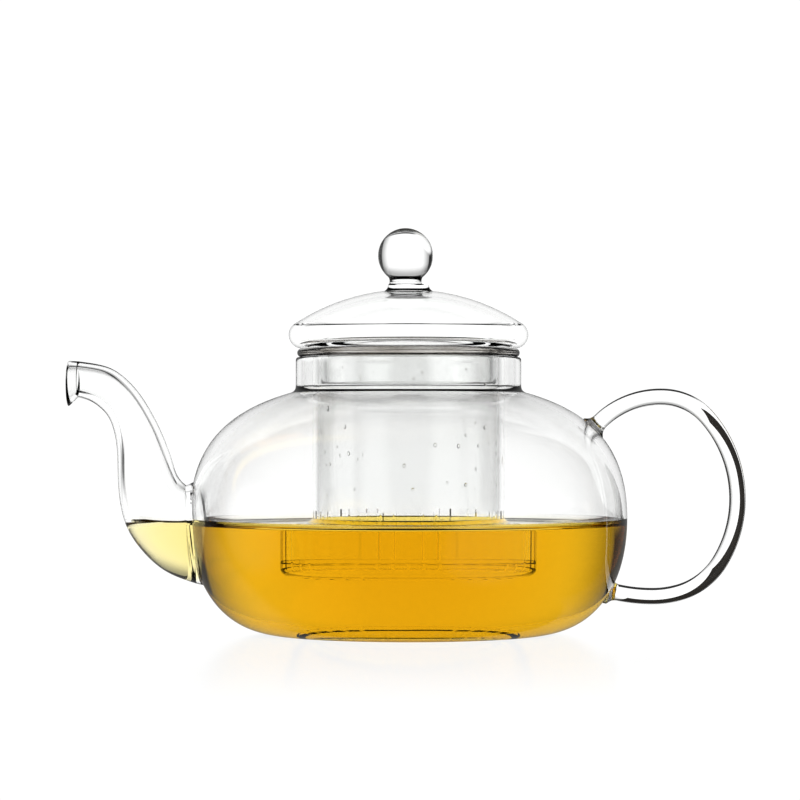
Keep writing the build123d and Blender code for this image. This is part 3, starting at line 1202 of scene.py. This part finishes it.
def make_knob_neck():
    """Short waisted stem between the boss and the ball."""
    low = KNOB_NECK_LOW.z - SKIN
    top = KNOB_NECK_HIGH.z
    centre = (KNOB_NECK_LOW.x + KNOB_NECK_HIGH.x) / 2
    radius = (KNOB_NECK_HIGH.x - KNOB_NECK_LOW.x) / 2
    waist = 0.9 * radius
    outline = chain(
        (straight((0.0, low), (radius, low), 3), 1),
        (bezier((radius, low), (waist, 0.7 * low + 0.3 * top), (waist, 0.3 * low + 0.7 * top),
                (radius, top), 14), 0),
        (straight((radius, top), (0.0, top), 3), 1),
    )
    return smooth(lathe("knob_stem", outline, ROUND_SMALL, off_axis(centre)))


def make_knob(lid):
    centre = (KNOB_LOW.x + KNOB_HIGH.x) / 2
    neck = (KNOB_NECK_HIGH.x - KNOB_NECK_LOW.x) / 2
    middle = KNOB_HIGH.z - lid.knob_radius
    start = -acos(neck / lid.knob_radius) * 180 / pi
    outline = chain(
        (straight((0.0, KNOB_LOW.z), (neck, KNOB_LOW.z), 3), 1),
        (arc((0.0, middle), lid.knob_radius, start, 90, 72), 0),
    )
    return smooth(lathe("knob_ball", outline, 128, off_axis(centre)))


# ---------------------------------------------------------------- the tea


def belly_tea_height(tea, infuser, spout, x, y):
    """Height of the tea in the belly over a point: level, with a climb at the belly and at the infuser."""
    r = hypot(x, y)
    wall = BELLY_HIGH.x - bpy.context.scene.teapot_pot.belly_wall
    outer = TUBE_HIGH.x
    bore = outer - infuser.wall
    opening = root_axis(spout)[3] - spout.wall
    fade = 1.0
    if x < 0:
        fade = min(1.0, max(0.0, (abs(y) - 0.85 * opening) / (0.3 * opening)))
    climb = exp(-max(wall - r, 0.0) / tea.climb_width) * fade
    if r >= outer:
        climb = max(climb, exp(-(r - outer) / tea.climb_width))
    elif r > bore:
        climb = 1.0
    else:
        climb = max(climb, exp(-(bore - r) / tea.climb_width))
    return tea.level + tea.climb * climb


def eased(a, b, steps, towards_end):
    """Radii from a to b, crowded towards one end."""
    result = []
    for i in range(steps + 1):
        t = i / steps
        t = 1 - (1 - t) ** 2.2 if towards_end else t**2.2
        result.append(a + (b - a) * t)
    return result


def tea_radii(pot, infuser):
    wall = BELLY_HIGH.x - pot.belly_wall + SKIN
    outer = TUBE_HIGH.x
    bore = outer - infuser.wall
    middle = (outer + wall) / 2
    radii = eased(0.0, bore, 22, True) + eased(outer, middle, 20, False) + eased(middle, wall, 20, True)
    kept = []
    for r in radii:
        if not kept or r - kept[-1] > 1e-7:
            kept.append(r)
    return kept


def make_belly_tea(name, pot, infuser, spout, tea, lowered, thickness=None):
    """Tea in the belly, or, with a thickness, only its top film."""
    radii = tea_radii(pot, infuser)
    bore = TUBE_HIGH.x - infuser.wall
    sides = 192

    def height(r, turn, down):
        x = r * cos(turn)
        y = r * sin(turn)
        return (x, y, belly_tea_height(tea, infuser, spout, x, y) - down)

    mesh = bmesh.new()
    top_rings = []
    for r in radii:
        if r == 0.0:
            top_rings.append([mesh.verts.new(height(0.0, 0.0, lowered))] * sides)
        else:
            top_rings.append([mesh.verts.new(height(r, 2 * pi * i / sides, lowered)) for i in range(sides)])
    if thickness:
        under = []
        for r in radii[::-1]:
            if r == 0.0:
                under.append([mesh.verts.new(height(0.0, 0.0, lowered + thickness))] * sides)
            else:
                under.append(
                    [mesh.verts.new(height(r, 2 * pi * i / sides, lowered + thickness)) for i in range(sides)]
                )
    else:
        wall = [p for p in belly_inner(pot, SKIN) if p[1] < tea.level - 0.2 * MM][::-1]
        under = []
        for r, z in wall + [(0.0, pot.belly_wall - SKIN)]:
            if r == 0.0:
                under.append([mesh.verts.new((0.0, 0.0, z))] * sides)
            else:
                under.append([mesh.verts.new(about_z(r, z, 2 * pi * i / sides)) for i in range(sides)])
    rings = top_rings + under
    for k, (low, high) in enumerate(zip(rings, rings[1:])):
        for i in range(sides):
            j = (i + 1) % sides
            corners = [low[i], low[j], high[j], high[i]]
            if low[i] is low[j]:
                corners = [low[i], high[j], high[i]]
            elif high[i] is high[j]:
                corners = [low[i], low[j], high[i]]
            face = mesh.faces.new(corners)
            on_top = k < len(radii) - 1
            in_wall = on_top and abs((radii[k] + radii[k + 1]) / 2 - bore - infuser.wall / 2) < 0.1 * MM
            free = on_top and not in_wall
            face.material_index = 1 if free else 0
    return smooth(finished(name, mesh), 60.0)


def spout_tea_blank(name, tea, lowered, deep, spout):
    """Slab under the tea's surface in the spout, for cutting the bore's own shape from."""
    centre = root_axis(spout)[0]
    half_length = 21.2 * MM
    half_width = root_axis(spout)[3] - spout.wall - 0.4 * MM
    sides = 96
    shares = [0.0] + eased(0.25, 1.0, 14, True) + [1.05, 1.2]
    mesh = bmesh.new()

    def top(share, turn):
        away = max(0.0, 1.0 - share) * half_width
        z = tea.level + tea.climb * exp(-away / tea.climb_width) - lowered
        return (centre.x + half_length * share * cos(turn), half_width * share * sin(turn), z)

    rings = []
    for share in shares:
        if share == 0.0:
            rings.append([mesh.verts.new(top(0.0, 0.0))] * sides)
        else:
            rings.append([mesh.verts.new(top(share, 2 * pi * i / sides)) for i in range(sides)])
    bottoms = []
    for ring, share in zip(rings[::-1], shares[::-1]):
        if share == 0.0:
            v = ring[0].co
            bottoms.append([mesh.verts.new((v.x, v.y, v.z - deep))] * sides)
        else:
            bottoms.append([mesh.verts.new((v.co.x, v.co.y, v.co.z - deep)) for v in ring])
    rings = rings + bottoms
    for k, (low, high) in enumerate(zip(rings, rings[1:])):
        for i in range(sides):
            j = (i + 1) % sides
            corners = [low[i], low[j], high[j], high[i]]
            if low[i] is low[j]:
                corners = [low[i], high[j], high[i]]
            elif high[i] is high[j]:
                corners = [low[i], low[j], high[i]]
            face = mesh.faces.new(corners)
            face.material_index = 1 if k < len(shares) - 1 else 0
    return finished(name, mesh)


def make_spout_tea(name, pot, infuser, spout, tea, lowered, thickness=None):
    """Tea that stands in the foot of the spout, or, with a thickness, only its top film."""
    blank = spout_tea_blank(name, tea, lowered, thickness or 0.06, spout)
    sections = spout_sections(spout)
    centre, into, up, radius = root_axis(spout)
    inward = [(centre + into * 8 * MM, up, radius)]
    bore = plugged_tube("bore", inward + sections[:50], spout.wall - SKIN)
    boolean(blank, bore, "INTERSECT")
    drop(bore)
    outline = belly_inner(pot, SKIN)
    cavity = lathe(
        "cavity",
        chain(
            ([(0.0, outline[0][1]), outline[0]], 0),
            (outline, 0),
            ([outline[-1], (0.0, outline[-1][1])], 0),
        ),
    )
    boolean(blank, cavity, "DIFFERENCE")
    drop(cavity)
    for face in blank.data.polygons:
        free = face.normal.z > 0.3 and face.center.z > tea.level - 1.0 * MM - lowered
        face.material_index = 1 if free else 0
    return smooth(blank, 60.0)


# ---------------------------------------------------------------- drops and foam


def scatter_tree(name, count, seed, low, high, size_low, size_high, flatten, material):
    """Geometry nodes: small balls at random places on a band round the axis, in random sizes."""
    tree = bpy.data.node_groups.new(name, "GeometryNodeTree")
    add = tree.interface.new_socket
    add(name="Geometry", in_out="INPUT", socket_type="NodeSocketGeometry")
    add(name="Count", in_out="INPUT", socket_type="NodeSocketInt").default_value = count
    add(name="Seed", in_out="INPUT", socket_type="NodeSocketInt").default_value = seed
    for key, value in (("Low", low), ("High", high)):
        add(name=key, in_out="INPUT", socket_type="NodeSocketVector").default_value = value
    add(name="Smallest", in_out="INPUT", socket_type="NodeSocketFloat").default_value = size_low
    add(name="Largest", in_out="INPUT", socket_type="NodeSocketFloat").default_value = size_high
    add(name="Flatten", in_out="INPUT", socket_type="NodeSocketVector").default_value = flatten
    add(name="Geometry", in_out="OUTPUT", socket_type="NodeSocketGeometry")
    nodes = tree.nodes
    links = tree.links
    enter = nodes.new("NodeGroupInput")
    leave = nodes.new("NodeGroupOutput")
    spot = nodes.new("FunctionNodeRandomValue")
    spot.data_type = "FLOAT_VECTOR"
    links.new(enter.outputs["Low"], spot.inputs[0])
    links.new(enter.outputs["High"], spot.inputs[1])
    links.new(enter.outputs["Seed"], spot.inputs["Seed"])
    parts = nodes.new("ShaderNodeSeparateXYZ")
    links.new(spot.outputs[0], parts.inputs[0])

    def math(operation, a, b=None):
        node = nodes.new("ShaderNodeMath")
        node.operation = operation
        for socket, value in zip(node.inputs, (a, b)):
            if value is not None:
                links.new(value, socket)
        return node.outputs[0]

    where = nodes.new("ShaderNodeCombineXYZ")
    links.new(math("MULTIPLY", parts.outputs[1], math("COSINE", parts.outputs[0])), where.inputs[0])
    links.new(math("MULTIPLY", parts.outputs[1], math("SINE", parts.outputs[0])), where.inputs[1])
    links.new(parts.outputs[2], where.inputs[2])
    points = nodes.new("GeometryNodePoints")
    links.new(enter.outputs["Count"], points.inputs["Count"])
    links.new(where.outputs[0], points.inputs["Position"])
    size = nodes.new("FunctionNodeRandomValue")
    size.data_type = "FLOAT"
    links.new(enter.outputs["Smallest"], size.inputs[2])
    links.new(enter.outputs["Largest"], size.inputs[3])
    links.new(math("ADD", enter.outputs["Seed"], enter.outputs["Count"]), size.inputs["Seed"])
    ball = nodes.new("GeometryNodeMeshUVSphere")
    ball.inputs["Segments"].default_value = 14
    ball.inputs["Rings"].default_value = 9
    ball.inputs["Radius"].default_value = 1.0
    shape = nodes.new("GeometryNodeTransform")
    links.new(ball.outputs["Mesh"], shape.inputs["Geometry"])
    links.new(enter.outputs["Flatten"], shape.inputs["Scale"])
    facing = nodes.new("ShaderNodeCombineXYZ")
    links.new(parts.outputs[0], facing.inputs[2])
    copies = nodes.new("GeometryNodeInstanceOnPoints")
    links.new(points.outputs[0], copies.inputs["Points"])
    links.new(shape.outputs[0], copies.inputs["Instance"])
    links.new(facing.outputs[0], copies.inputs["Rotation"])
    links.new(size.outputs[1], copies.inputs["Scale"])
    real = nodes.new("GeometryNodeRealizeInstances")
    links.new(copies.outputs[0], real.inputs[0])
    finish = nodes.new("GeometryNodeSetMaterial")
    finish.inputs["Material"].default_value = material
    links.new(real.outputs[0], finish.inputs["Geometry"])
    links.new(finish.outputs[0], leave.inputs[0])
    return tree


# ---------------------------------------------------------------- operators


class TEAPOT_OT_belly(bpy.types.Operator):
    """Blow the belly and set the neck collar on it."""

    bl_idname = "teapot.belly"
    bl_label = "Belly and Neck"

    def execute(self, context):
        scene = context.scene
        glass = blown_glass()
        belly = make_belly(scene.teapot_pot, scene.teapot_spout, scene.teapot_tea)
        settle(belly, "pot", [glass, weld_glass(), blown_glass_wet()], "pot_belly", slot="blown_glass")
        collar = make_collar(scene.teapot_pot)
        settle(collar, "pot", [glass, weld_glass()], "neck_collar", slot="blown_glass")
        return {"FINISHED"}


class TEAPOT_OT_spout(bpy.types.Operator):
    """Draw the spout, its weld ring and its pouring lip."""

    bl_idname = "teapot.spout"
    bl_label = "Spout"

    def execute(self, context):
        scene = context.scene
        finishes = [blown_glass(), weld_glass(), blown_glass_wet()]
        spout = make_spout(scene.teapot_spout, scene.teapot_tea)
        settle(spout, "pot", finishes, "spout", slot="blown_glass")
        ring = make_root_ring(scene.teapot_pot, scene.teapot_spout, scene.teapot_tea)
        joint = [drawn_glass(), weld_glass(), weld_glass()]
        settle(ring, "pot", joint, "spout_root_ring", slot="blown_glass")
        lip = make_lip(scene.teapot_spout)
        settle(lip, "pot", finishes[:2], "spout_lip", slot="blown_glass")
        return {"FINISHED"}


class TEAPOT_OT_handle(bpy.types.Operator):
    """Bend the handle's rod and melt its two feet to the belly."""

    bl_idname = "teapot.handle"
    bl_label = "Handle"

    def execute(self, context):
        pot = context.scene.teapot_pot
        rod = context.scene.teapot_handle
        settle(make_handle(pot, rod), "pot", [rod_glass(), weld_glass()], "handle", slot="rod_glass")
        names = ("handle_upper_foot", "handle_lower_foot")
        for name, run in zip(names, handle_runs(pot, rod)):
            foot = make_foot(pot, rod, name.replace("handle_", "") + "_pad", run)
            settle(foot, "pot", [foot_glass(), weld_glass()], name, slot="rod_glass")
        return {"FINISHED"}


class TEAPOT_OT_infuser(bpy.types.Operator):
    """Make the infuser: its rim, slotted tube and floor disc."""

    bl_idname = "teapot.infuser"
    bl_label = "Infuser"

    def execute(self, context):
        infuser = context.scene.teapot_infuser
        tea = context.scene.teapot_tea
        finishes = [infuser_glass(), weld_glass(), infuser_glass_wet()]
        # the rim's dark brown glass is painted shade for the dark band round it
        settle(make_rim(infuser), "infuser", [painted_shade_rim(), weld_glass()], "infuser_rim", slot="infuser_glass")
        settle(make_tube(infuser, tea), "infuser", finishes, "infuser_tube", slot="infuser_glass")
        settle(make_floor_disc(infuser), "infuser", finishes, "infuser_base", slot="infuser_glass")
        return {"FINISHED"}


class TEAPOT_OT_lid(bpy.types.Operator):
    """Make the lid: dome, skirt, boss, stem and ball knob."""

    bl_idname = "teapot.lid"
    bl_label = "Lid"

    def execute(self, context):
        lid = context.scene.teapot_lid
        glass = blown_glass()
        weld = weld_glass()
        settle(make_dome(lid), "lid", [lid_glass(), weld], "lid_dome", slot="blown_glass")
        settle(make_skirt(lid), "lid", [glass, weld], "lid_skirt", slot="blown_glass")
        rod = rod_glass()
        settle(make_boss(lid), "lid", [drawn_glass(), weld], "lid_boss", slot="rod_glass")
        settle(make_knob_neck(), "lid", [rod, weld], "knob_neck", slot="rod_glass")
        settle(make_knob(lid), "lid", [rod, weld], "lid_knob", slot="rod_glass")
        return {"FINISHED"}


class TEAPOT_OT_tea(bpy.types.Operator):
    """Fill the pot and the foot of the spout with tea."""

    bl_idname = "teapot.tea"
    bl_label = "Tea"

    def execute(self, context):
        scene = context.scene
        pot = scene.teapot_pot
        infuser = scene.teapot_infuser
        spout = scene.teapot_spout
        tea = scene.teapot_tea
        body = tea_material(tea)
        film = tea_top_material()
        clear = weld_glass()
        depth = 0.02 * MM
        settle(make_belly_tea("tea_body", pot, infuser, spout, tea, depth), "pot", [body, body])
        film_piece = make_belly_tea("tea_surface", pot, infuser, spout, tea, 0.0, 0.3 * MM)
        settle(film_piece, "pot", [clear, film])
        settle(make_spout_tea("spout_tea", pot, infuser, spout, tea, depth), "pot", [body, body])
        film_piece = make_spout_tea("spout_tea_surface", pot, infuser, spout, tea, 0.0, 0.3 * MM)
        settle(film_piece, "pot", [clear, film])
        return {"FINISHED"}


class TEAPOT_OT_drops(bpy.types.Operator):
    """Scatter the foam ring and the droplets."""

    bl_idname = "teapot.drops"
    bl_label = "Foam and Droplets"

    def execute(self, context):
        scene = context.scene
        tea = scene.teapot_tea
        bore = TUBE_HIGH.x - scene.teapot_infuser.wall
        tree = scatter_tree(
            "foam_ring", tea.bubbles, 4, (0.0, bore - 3.2 * MM, tea.level + 0.3 * MM),
            (2 * pi, bore - 0.4 * MM, tea.level + 1.1 * MM), 0.15 * MM, 0.75 * MM, (1.0, 1.0, 0.8),
            bubble_film(),
        )
        foam = grown("foam_bubbles", tree, {})
        settle(smooth(foam, 80.0), "pot", [bubble_film()])
        tree = scatter_tree(
            "wall_droplets", tea.droplets, 11, (0.0, bore - 0.05 * MM, tea.level + 10 * MM),
            (2 * pi, bore, RIM_LOW.z - 3 * MM), 0.25 * MM, 0.7 * MM, (0.35, 1.0, 1.25), water_film(),
        )
        drops = grown("infuser_droplets", tree, {})
        settle(smooth(drops, 80.0), "infuser", [water_film()])
        return {"FINISHED"}


class TEAPOT_OT_stage(bpy.types.Operator):
    """Set the white table, the studio light and the camera."""

    bl_idname = "teapot.stage"
    bl_label = "Stage"

    def execute(self, context):
        scene = context.scene
        make_table(scene.teapot_stage)
        make_flag()
        make_studio_light(scene)
        make_camera(scene)
        scene.view_settings.view_transform = "Standard"
        scene.view_settings.look = "None"
        scene.view_settings.exposure = 0.32
        scene.view_settings.gamma = 0.85
        cycles = scene.cycles
        cycles.max_bounces = 40
        cycles.transmission_bounces = 36
        cycles.glossy_bounces = 12
        cycles.volume_bounces = 0
        cycles.caustics_reflective = True
        cycles.caustics_refractive = True
        return {"FINISHED"}


def make_table(stage):
    """White lit table with a soft sheen. Light that has come through glass doesn't see it."""
    half = stage.floor_size / 2
    mesh = bmesh.new()
    square = ((-half, -half), (half, -half), (half, half), (-half, half))
    mesh.faces.new([mesh.verts.new((x, y, -0.05 * MM)) for x, y in square])
    table = finished("table", mesh, turn=False)
    material = bpy.data.materials.new("lit_table")
    material.use_nodes = True
    nodes = material.node_tree.nodes
    links = material.node_tree.links
    nodes.remove(nodes["Principled BSDF"])
    glow = nodes.new("ShaderNodeEmission")
    glow.inputs["Color"].default_value = (WHITE, WHITE, WHITE, 1.0)
    sheen = nodes.new("ShaderNodeBsdfGlossy")
    sheen.inputs["Roughness"].default_value = 0.16
    mix = nodes.new("ShaderNodeMixShader")
    where = nodes.new("ShaderNodeTexCoord")
    reach = nodes.new("ShaderNodeVectorMath")
    reach.operation = "LENGTH"
    links.new(where.outputs["Object"], reach.inputs[0])
    fade = nodes.new("ShaderNodeMapRange")
    fade.interpolation_type = "SMOOTHSTEP"
    fade.inputs["From Min"].default_value = 0.08
    fade.inputs["From Max"].default_value = 0.32
    fade.inputs["To Min"].default_value = 0.14
    fade.inputs["To Max"].default_value = 0.0
    links.new(reach.outputs["Value"], fade.inputs["Value"])
    links.new(fade.outputs[0], mix.inputs["Fac"])
    links.new(glow.outputs[0], mix.inputs[1])
    links.new(sheen.outputs[0], mix.inputs[2])
    links.new(mix.outputs[0], nodes["Material Output"].inputs["Surface"])
    table.data.materials.append(material)
    table.visible_transmission = False
    table.visible_glossy = False


def make_flag():
    """Dark card behind the handle's loop. The camera doesn't see it; it darkens the rod's outer edge."""
    mesh = bmesh.new()
    mesh.faces.new([mesh.verts.new((x * MM, FLAG_BACK, z * MM)) for x, z in FLAG_CORNERS])
    flag = finished("flag", mesh, turn=False)
    material = bpy.data.materials.new("black_card")
    material.use_nodes = True
    shader = material.node_tree.nodes["Principled BSDF"]
    shader.inputs["Base Color"].default_value = (0.06, 0.055, 0.05, 1.0)
    shader.inputs["Specular IOR Level"].default_value = 0.0
    flag.data.materials.append(material)
    flag.visible_camera = False
    flag.visible_shadow = False
    flag.visible_glossy = False


def sines(degrees_):
    return [sin(radians(value)) for value in degrees_]


def make_studio_light(scene):
    """White cards in a dark studio, as directions of the sky. The camera itself sees plain white."""
    world = scene.world or bpy.data.worlds.new("studio")
    scene.world = world
    world.use_nodes = True
    nodes = world.node_tree.nodes
    links = world.node_tree.links
    nodes.clear()
    leave = nodes.new("ShaderNodeOutputWorld")
    way = nodes.new("ShaderNodeTexCoord").outputs["Generated"]

    def math(operation, a, b):
        node = nodes.new("ShaderNodeMath")
        node.operation = operation
        for socket, value in zip(node.inputs, (a, b)):
            if isinstance(value, float):
                socket.default_value = value
            else:
                links.new(value, socket)
        return node.outputs[0]

    def ramp(value, start, end, low, high):
        node = nodes.new("ShaderNodeMapRange")
        node.interpolation_type = "SMOOTHSTEP"
        links.new(value, node.inputs["Value"])
        for key, level in zip(("From Min", "From Max", "To Min", "To Max"), (start, end, low, high)):
            node.inputs[key].default_value = level
        return node.outputs[0]

    # The main card stands behind the pot. It fades towards its sides and top, then ends at each edge.
    parts = nodes.new("ShaderNodeSeparateXYZ")
    links.new(way, parts.inputs[0])
    across = math("ABSOLUTE", parts.outputs[0], 0.0)
    up = parts.outputs[2]
    total = ramp(across, *sines(MAIN_FADE), MAIN_BRIGHT, MAIN_FADED)
    total = math("MULTIPLY", total, ramp(across, *sines(MAIN_SIDE), 1.0, 0.0))
    total = math("MULTIPLY", total, ramp(parts.outputs[1], 0.0, 0.1, 0.0, 1.0))
    total = math("MULTIPLY", total, ramp(up, *sines(MAIN_DIM), 1.0, MAIN_DIMMED))
    total = math("MULTIPLY", total, ramp(up, *sines(MAIN_TOP), 1.0, 0.0))
    total = math("MULTIPLY", total, ramp(up, *sines(MAIN_FOOT), 0.0, 1.0))
    cards = [
        # (turn from +Y towards +X, elevation, half angle, soft edge, brightness)
        (-45.0, -25.0, 24.0, 6.0, 1.0),
        (-90.0, -3.0, 20.0, 6.0, 1.0),
        (135.0, -15.0, 24.0, 6.0, 1.0),
        (0.0, 75.0, 20.0, 8.0, 0.6),
    ]
    for turn, rise, half, soft, bright in cards:
        turn = radians(turn)
        rise = radians(rise)
        dot = nodes.new("ShaderNodeVectorMath")
        dot.operation = "DOT_PRODUCT"
        links.new(way, dot.inputs[0])
        dot.inputs[1].default_value = (sin(turn) * cos(rise), cos(turn) * cos(rise), sin(rise))
        card = ramp(dot.outputs["Value"], cos(radians(half + soft)), cos(radians(half - soft)), 0.0, bright)
        total = math("MAXIMUM", total, card)
    total = math("MAXIMUM", total, scene.teapot_stage.dark)
    # Mirrored light comes from a darker room than the light that passes through the glass.
    path = nodes.new("ShaderNodeLightPath")
    mirrored = math("MULTIPLY", path.outputs["Is Reflection Ray"], path.outputs["Is Singular Ray"])
    total = math("MULTIPLY", total, ramp(mirrored, 0.0, 1.0, 1.0, MIRRORED))
    sheen = math("SUBTRACT", path.outputs["Is Reflection Ray"], mirrored)
    total = math("MAXIMUM", total, math("MULTIPLY", sheen, WHITE))
    studio = nodes.new("ShaderNodeBackground")
    studio.inputs["Color"].default_value = (1.0, 1.0, 1.0, 1.0)
    links.new(total, studio.inputs["Strength"])
    plain = nodes.new("ShaderNodeBackground")
    plain.inputs["Color"].default_value = (WHITE, WHITE, WHITE, 1.0)
    choose = nodes.new("ShaderNodeMixShader")
    links.new(path.outputs["Is Camera Ray"], choose.inputs["Fac"])
    links.new(studio.outputs[0], choose.inputs[1])
    links.new(plain.outputs[0], choose.inputs[2])
    links.new(choose.outputs[0], leave.inputs["Surface"])


def make_camera(scene):
    stage = scene.teapot_stage
    data = bpy.data.cameras.new("camera")
    data.lens = stage.lens
    data.sensor_width = 36.0
    data.shift_x = -0.0106
    data.shift_y = 0.0362
    camera = bpy.data.objects.new("camera", data)
    camera.location = (0.0, -stage.camera_distance, stage.camera_height)
    camera.rotation_euler = (pi / 2, 0.0, 0.0)
    scene.collection.objects.link(camera)
    scene.camera = camera


class TEAPOT_PT_panel(bpy.types.Panel):
    """Buttons for every piece of the teapot."""

    bl_idname = "TEAPOT_PT_panel"
    bl_label = "Glass Teapot"
    bl_space_type = "VIEW_3D"
    bl_region_type = "UI"
    bl_category = "Teapot"

    def draw(self, context):
        for operator in OPERATORS:
            self.layout.operator(operator.bl_idname)
        for name, _ in GROUPS:
            group = getattr(context.scene, name)
            box = self.layout.box()
            for key in group.bl_rna.properties.keys():
                if key not in {"rna_type", "name"}:
                    box.prop(group, key)


GROUPS = (
    ("teapot_pot", PotSizes),
    ("teapot_spout", SpoutSizes),
    ("teapot_handle", HandleSizes),
    ("teapot_infuser", InfuserSizes),
    ("teapot_lid", LidSizes),
    ("teapot_tea", TeaSizes),
    ("teapot_stage", StageSizes),
)
OPERATORS = (
    TEAPOT_OT_stage,
    TEAPOT_OT_belly,
    TEAPOT_OT_spout,
    TEAPOT_OT_handle,
    TEAPOT_OT_infuser,
    TEAPOT_OT_lid,
    TEAPOT_OT_tea,
    TEAPOT_OT_drops,
)


def register():
    for name, group in GROUPS:
        bpy.utils.register_class(group)
        setattr(bpy.types.Scene, name, bpy.props.PointerProperty(type=group))
    for operator in OPERATORS:
        bpy.utils.register_class(operator)
    bpy.utils.register_class(TEAPOT_PT_panel)


def unregister():
    bpy.utils.unregister_class(TEAPOT_PT_panel)
    for operator in reversed(OPERATORS):
        bpy.utils.unregister_class(operator)
    for name, group in reversed(GROUPS):
        delattr(bpy.types.Scene, name)
        bpy.utils.unregister_class(group)


def main():
    register()
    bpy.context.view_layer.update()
    for operator in OPERATORS:
        group, name = operator.bl_idname.split(".")
        getattr(getattr(bpy.ops, group), name)()


if __name__ == "__main__":
    main()
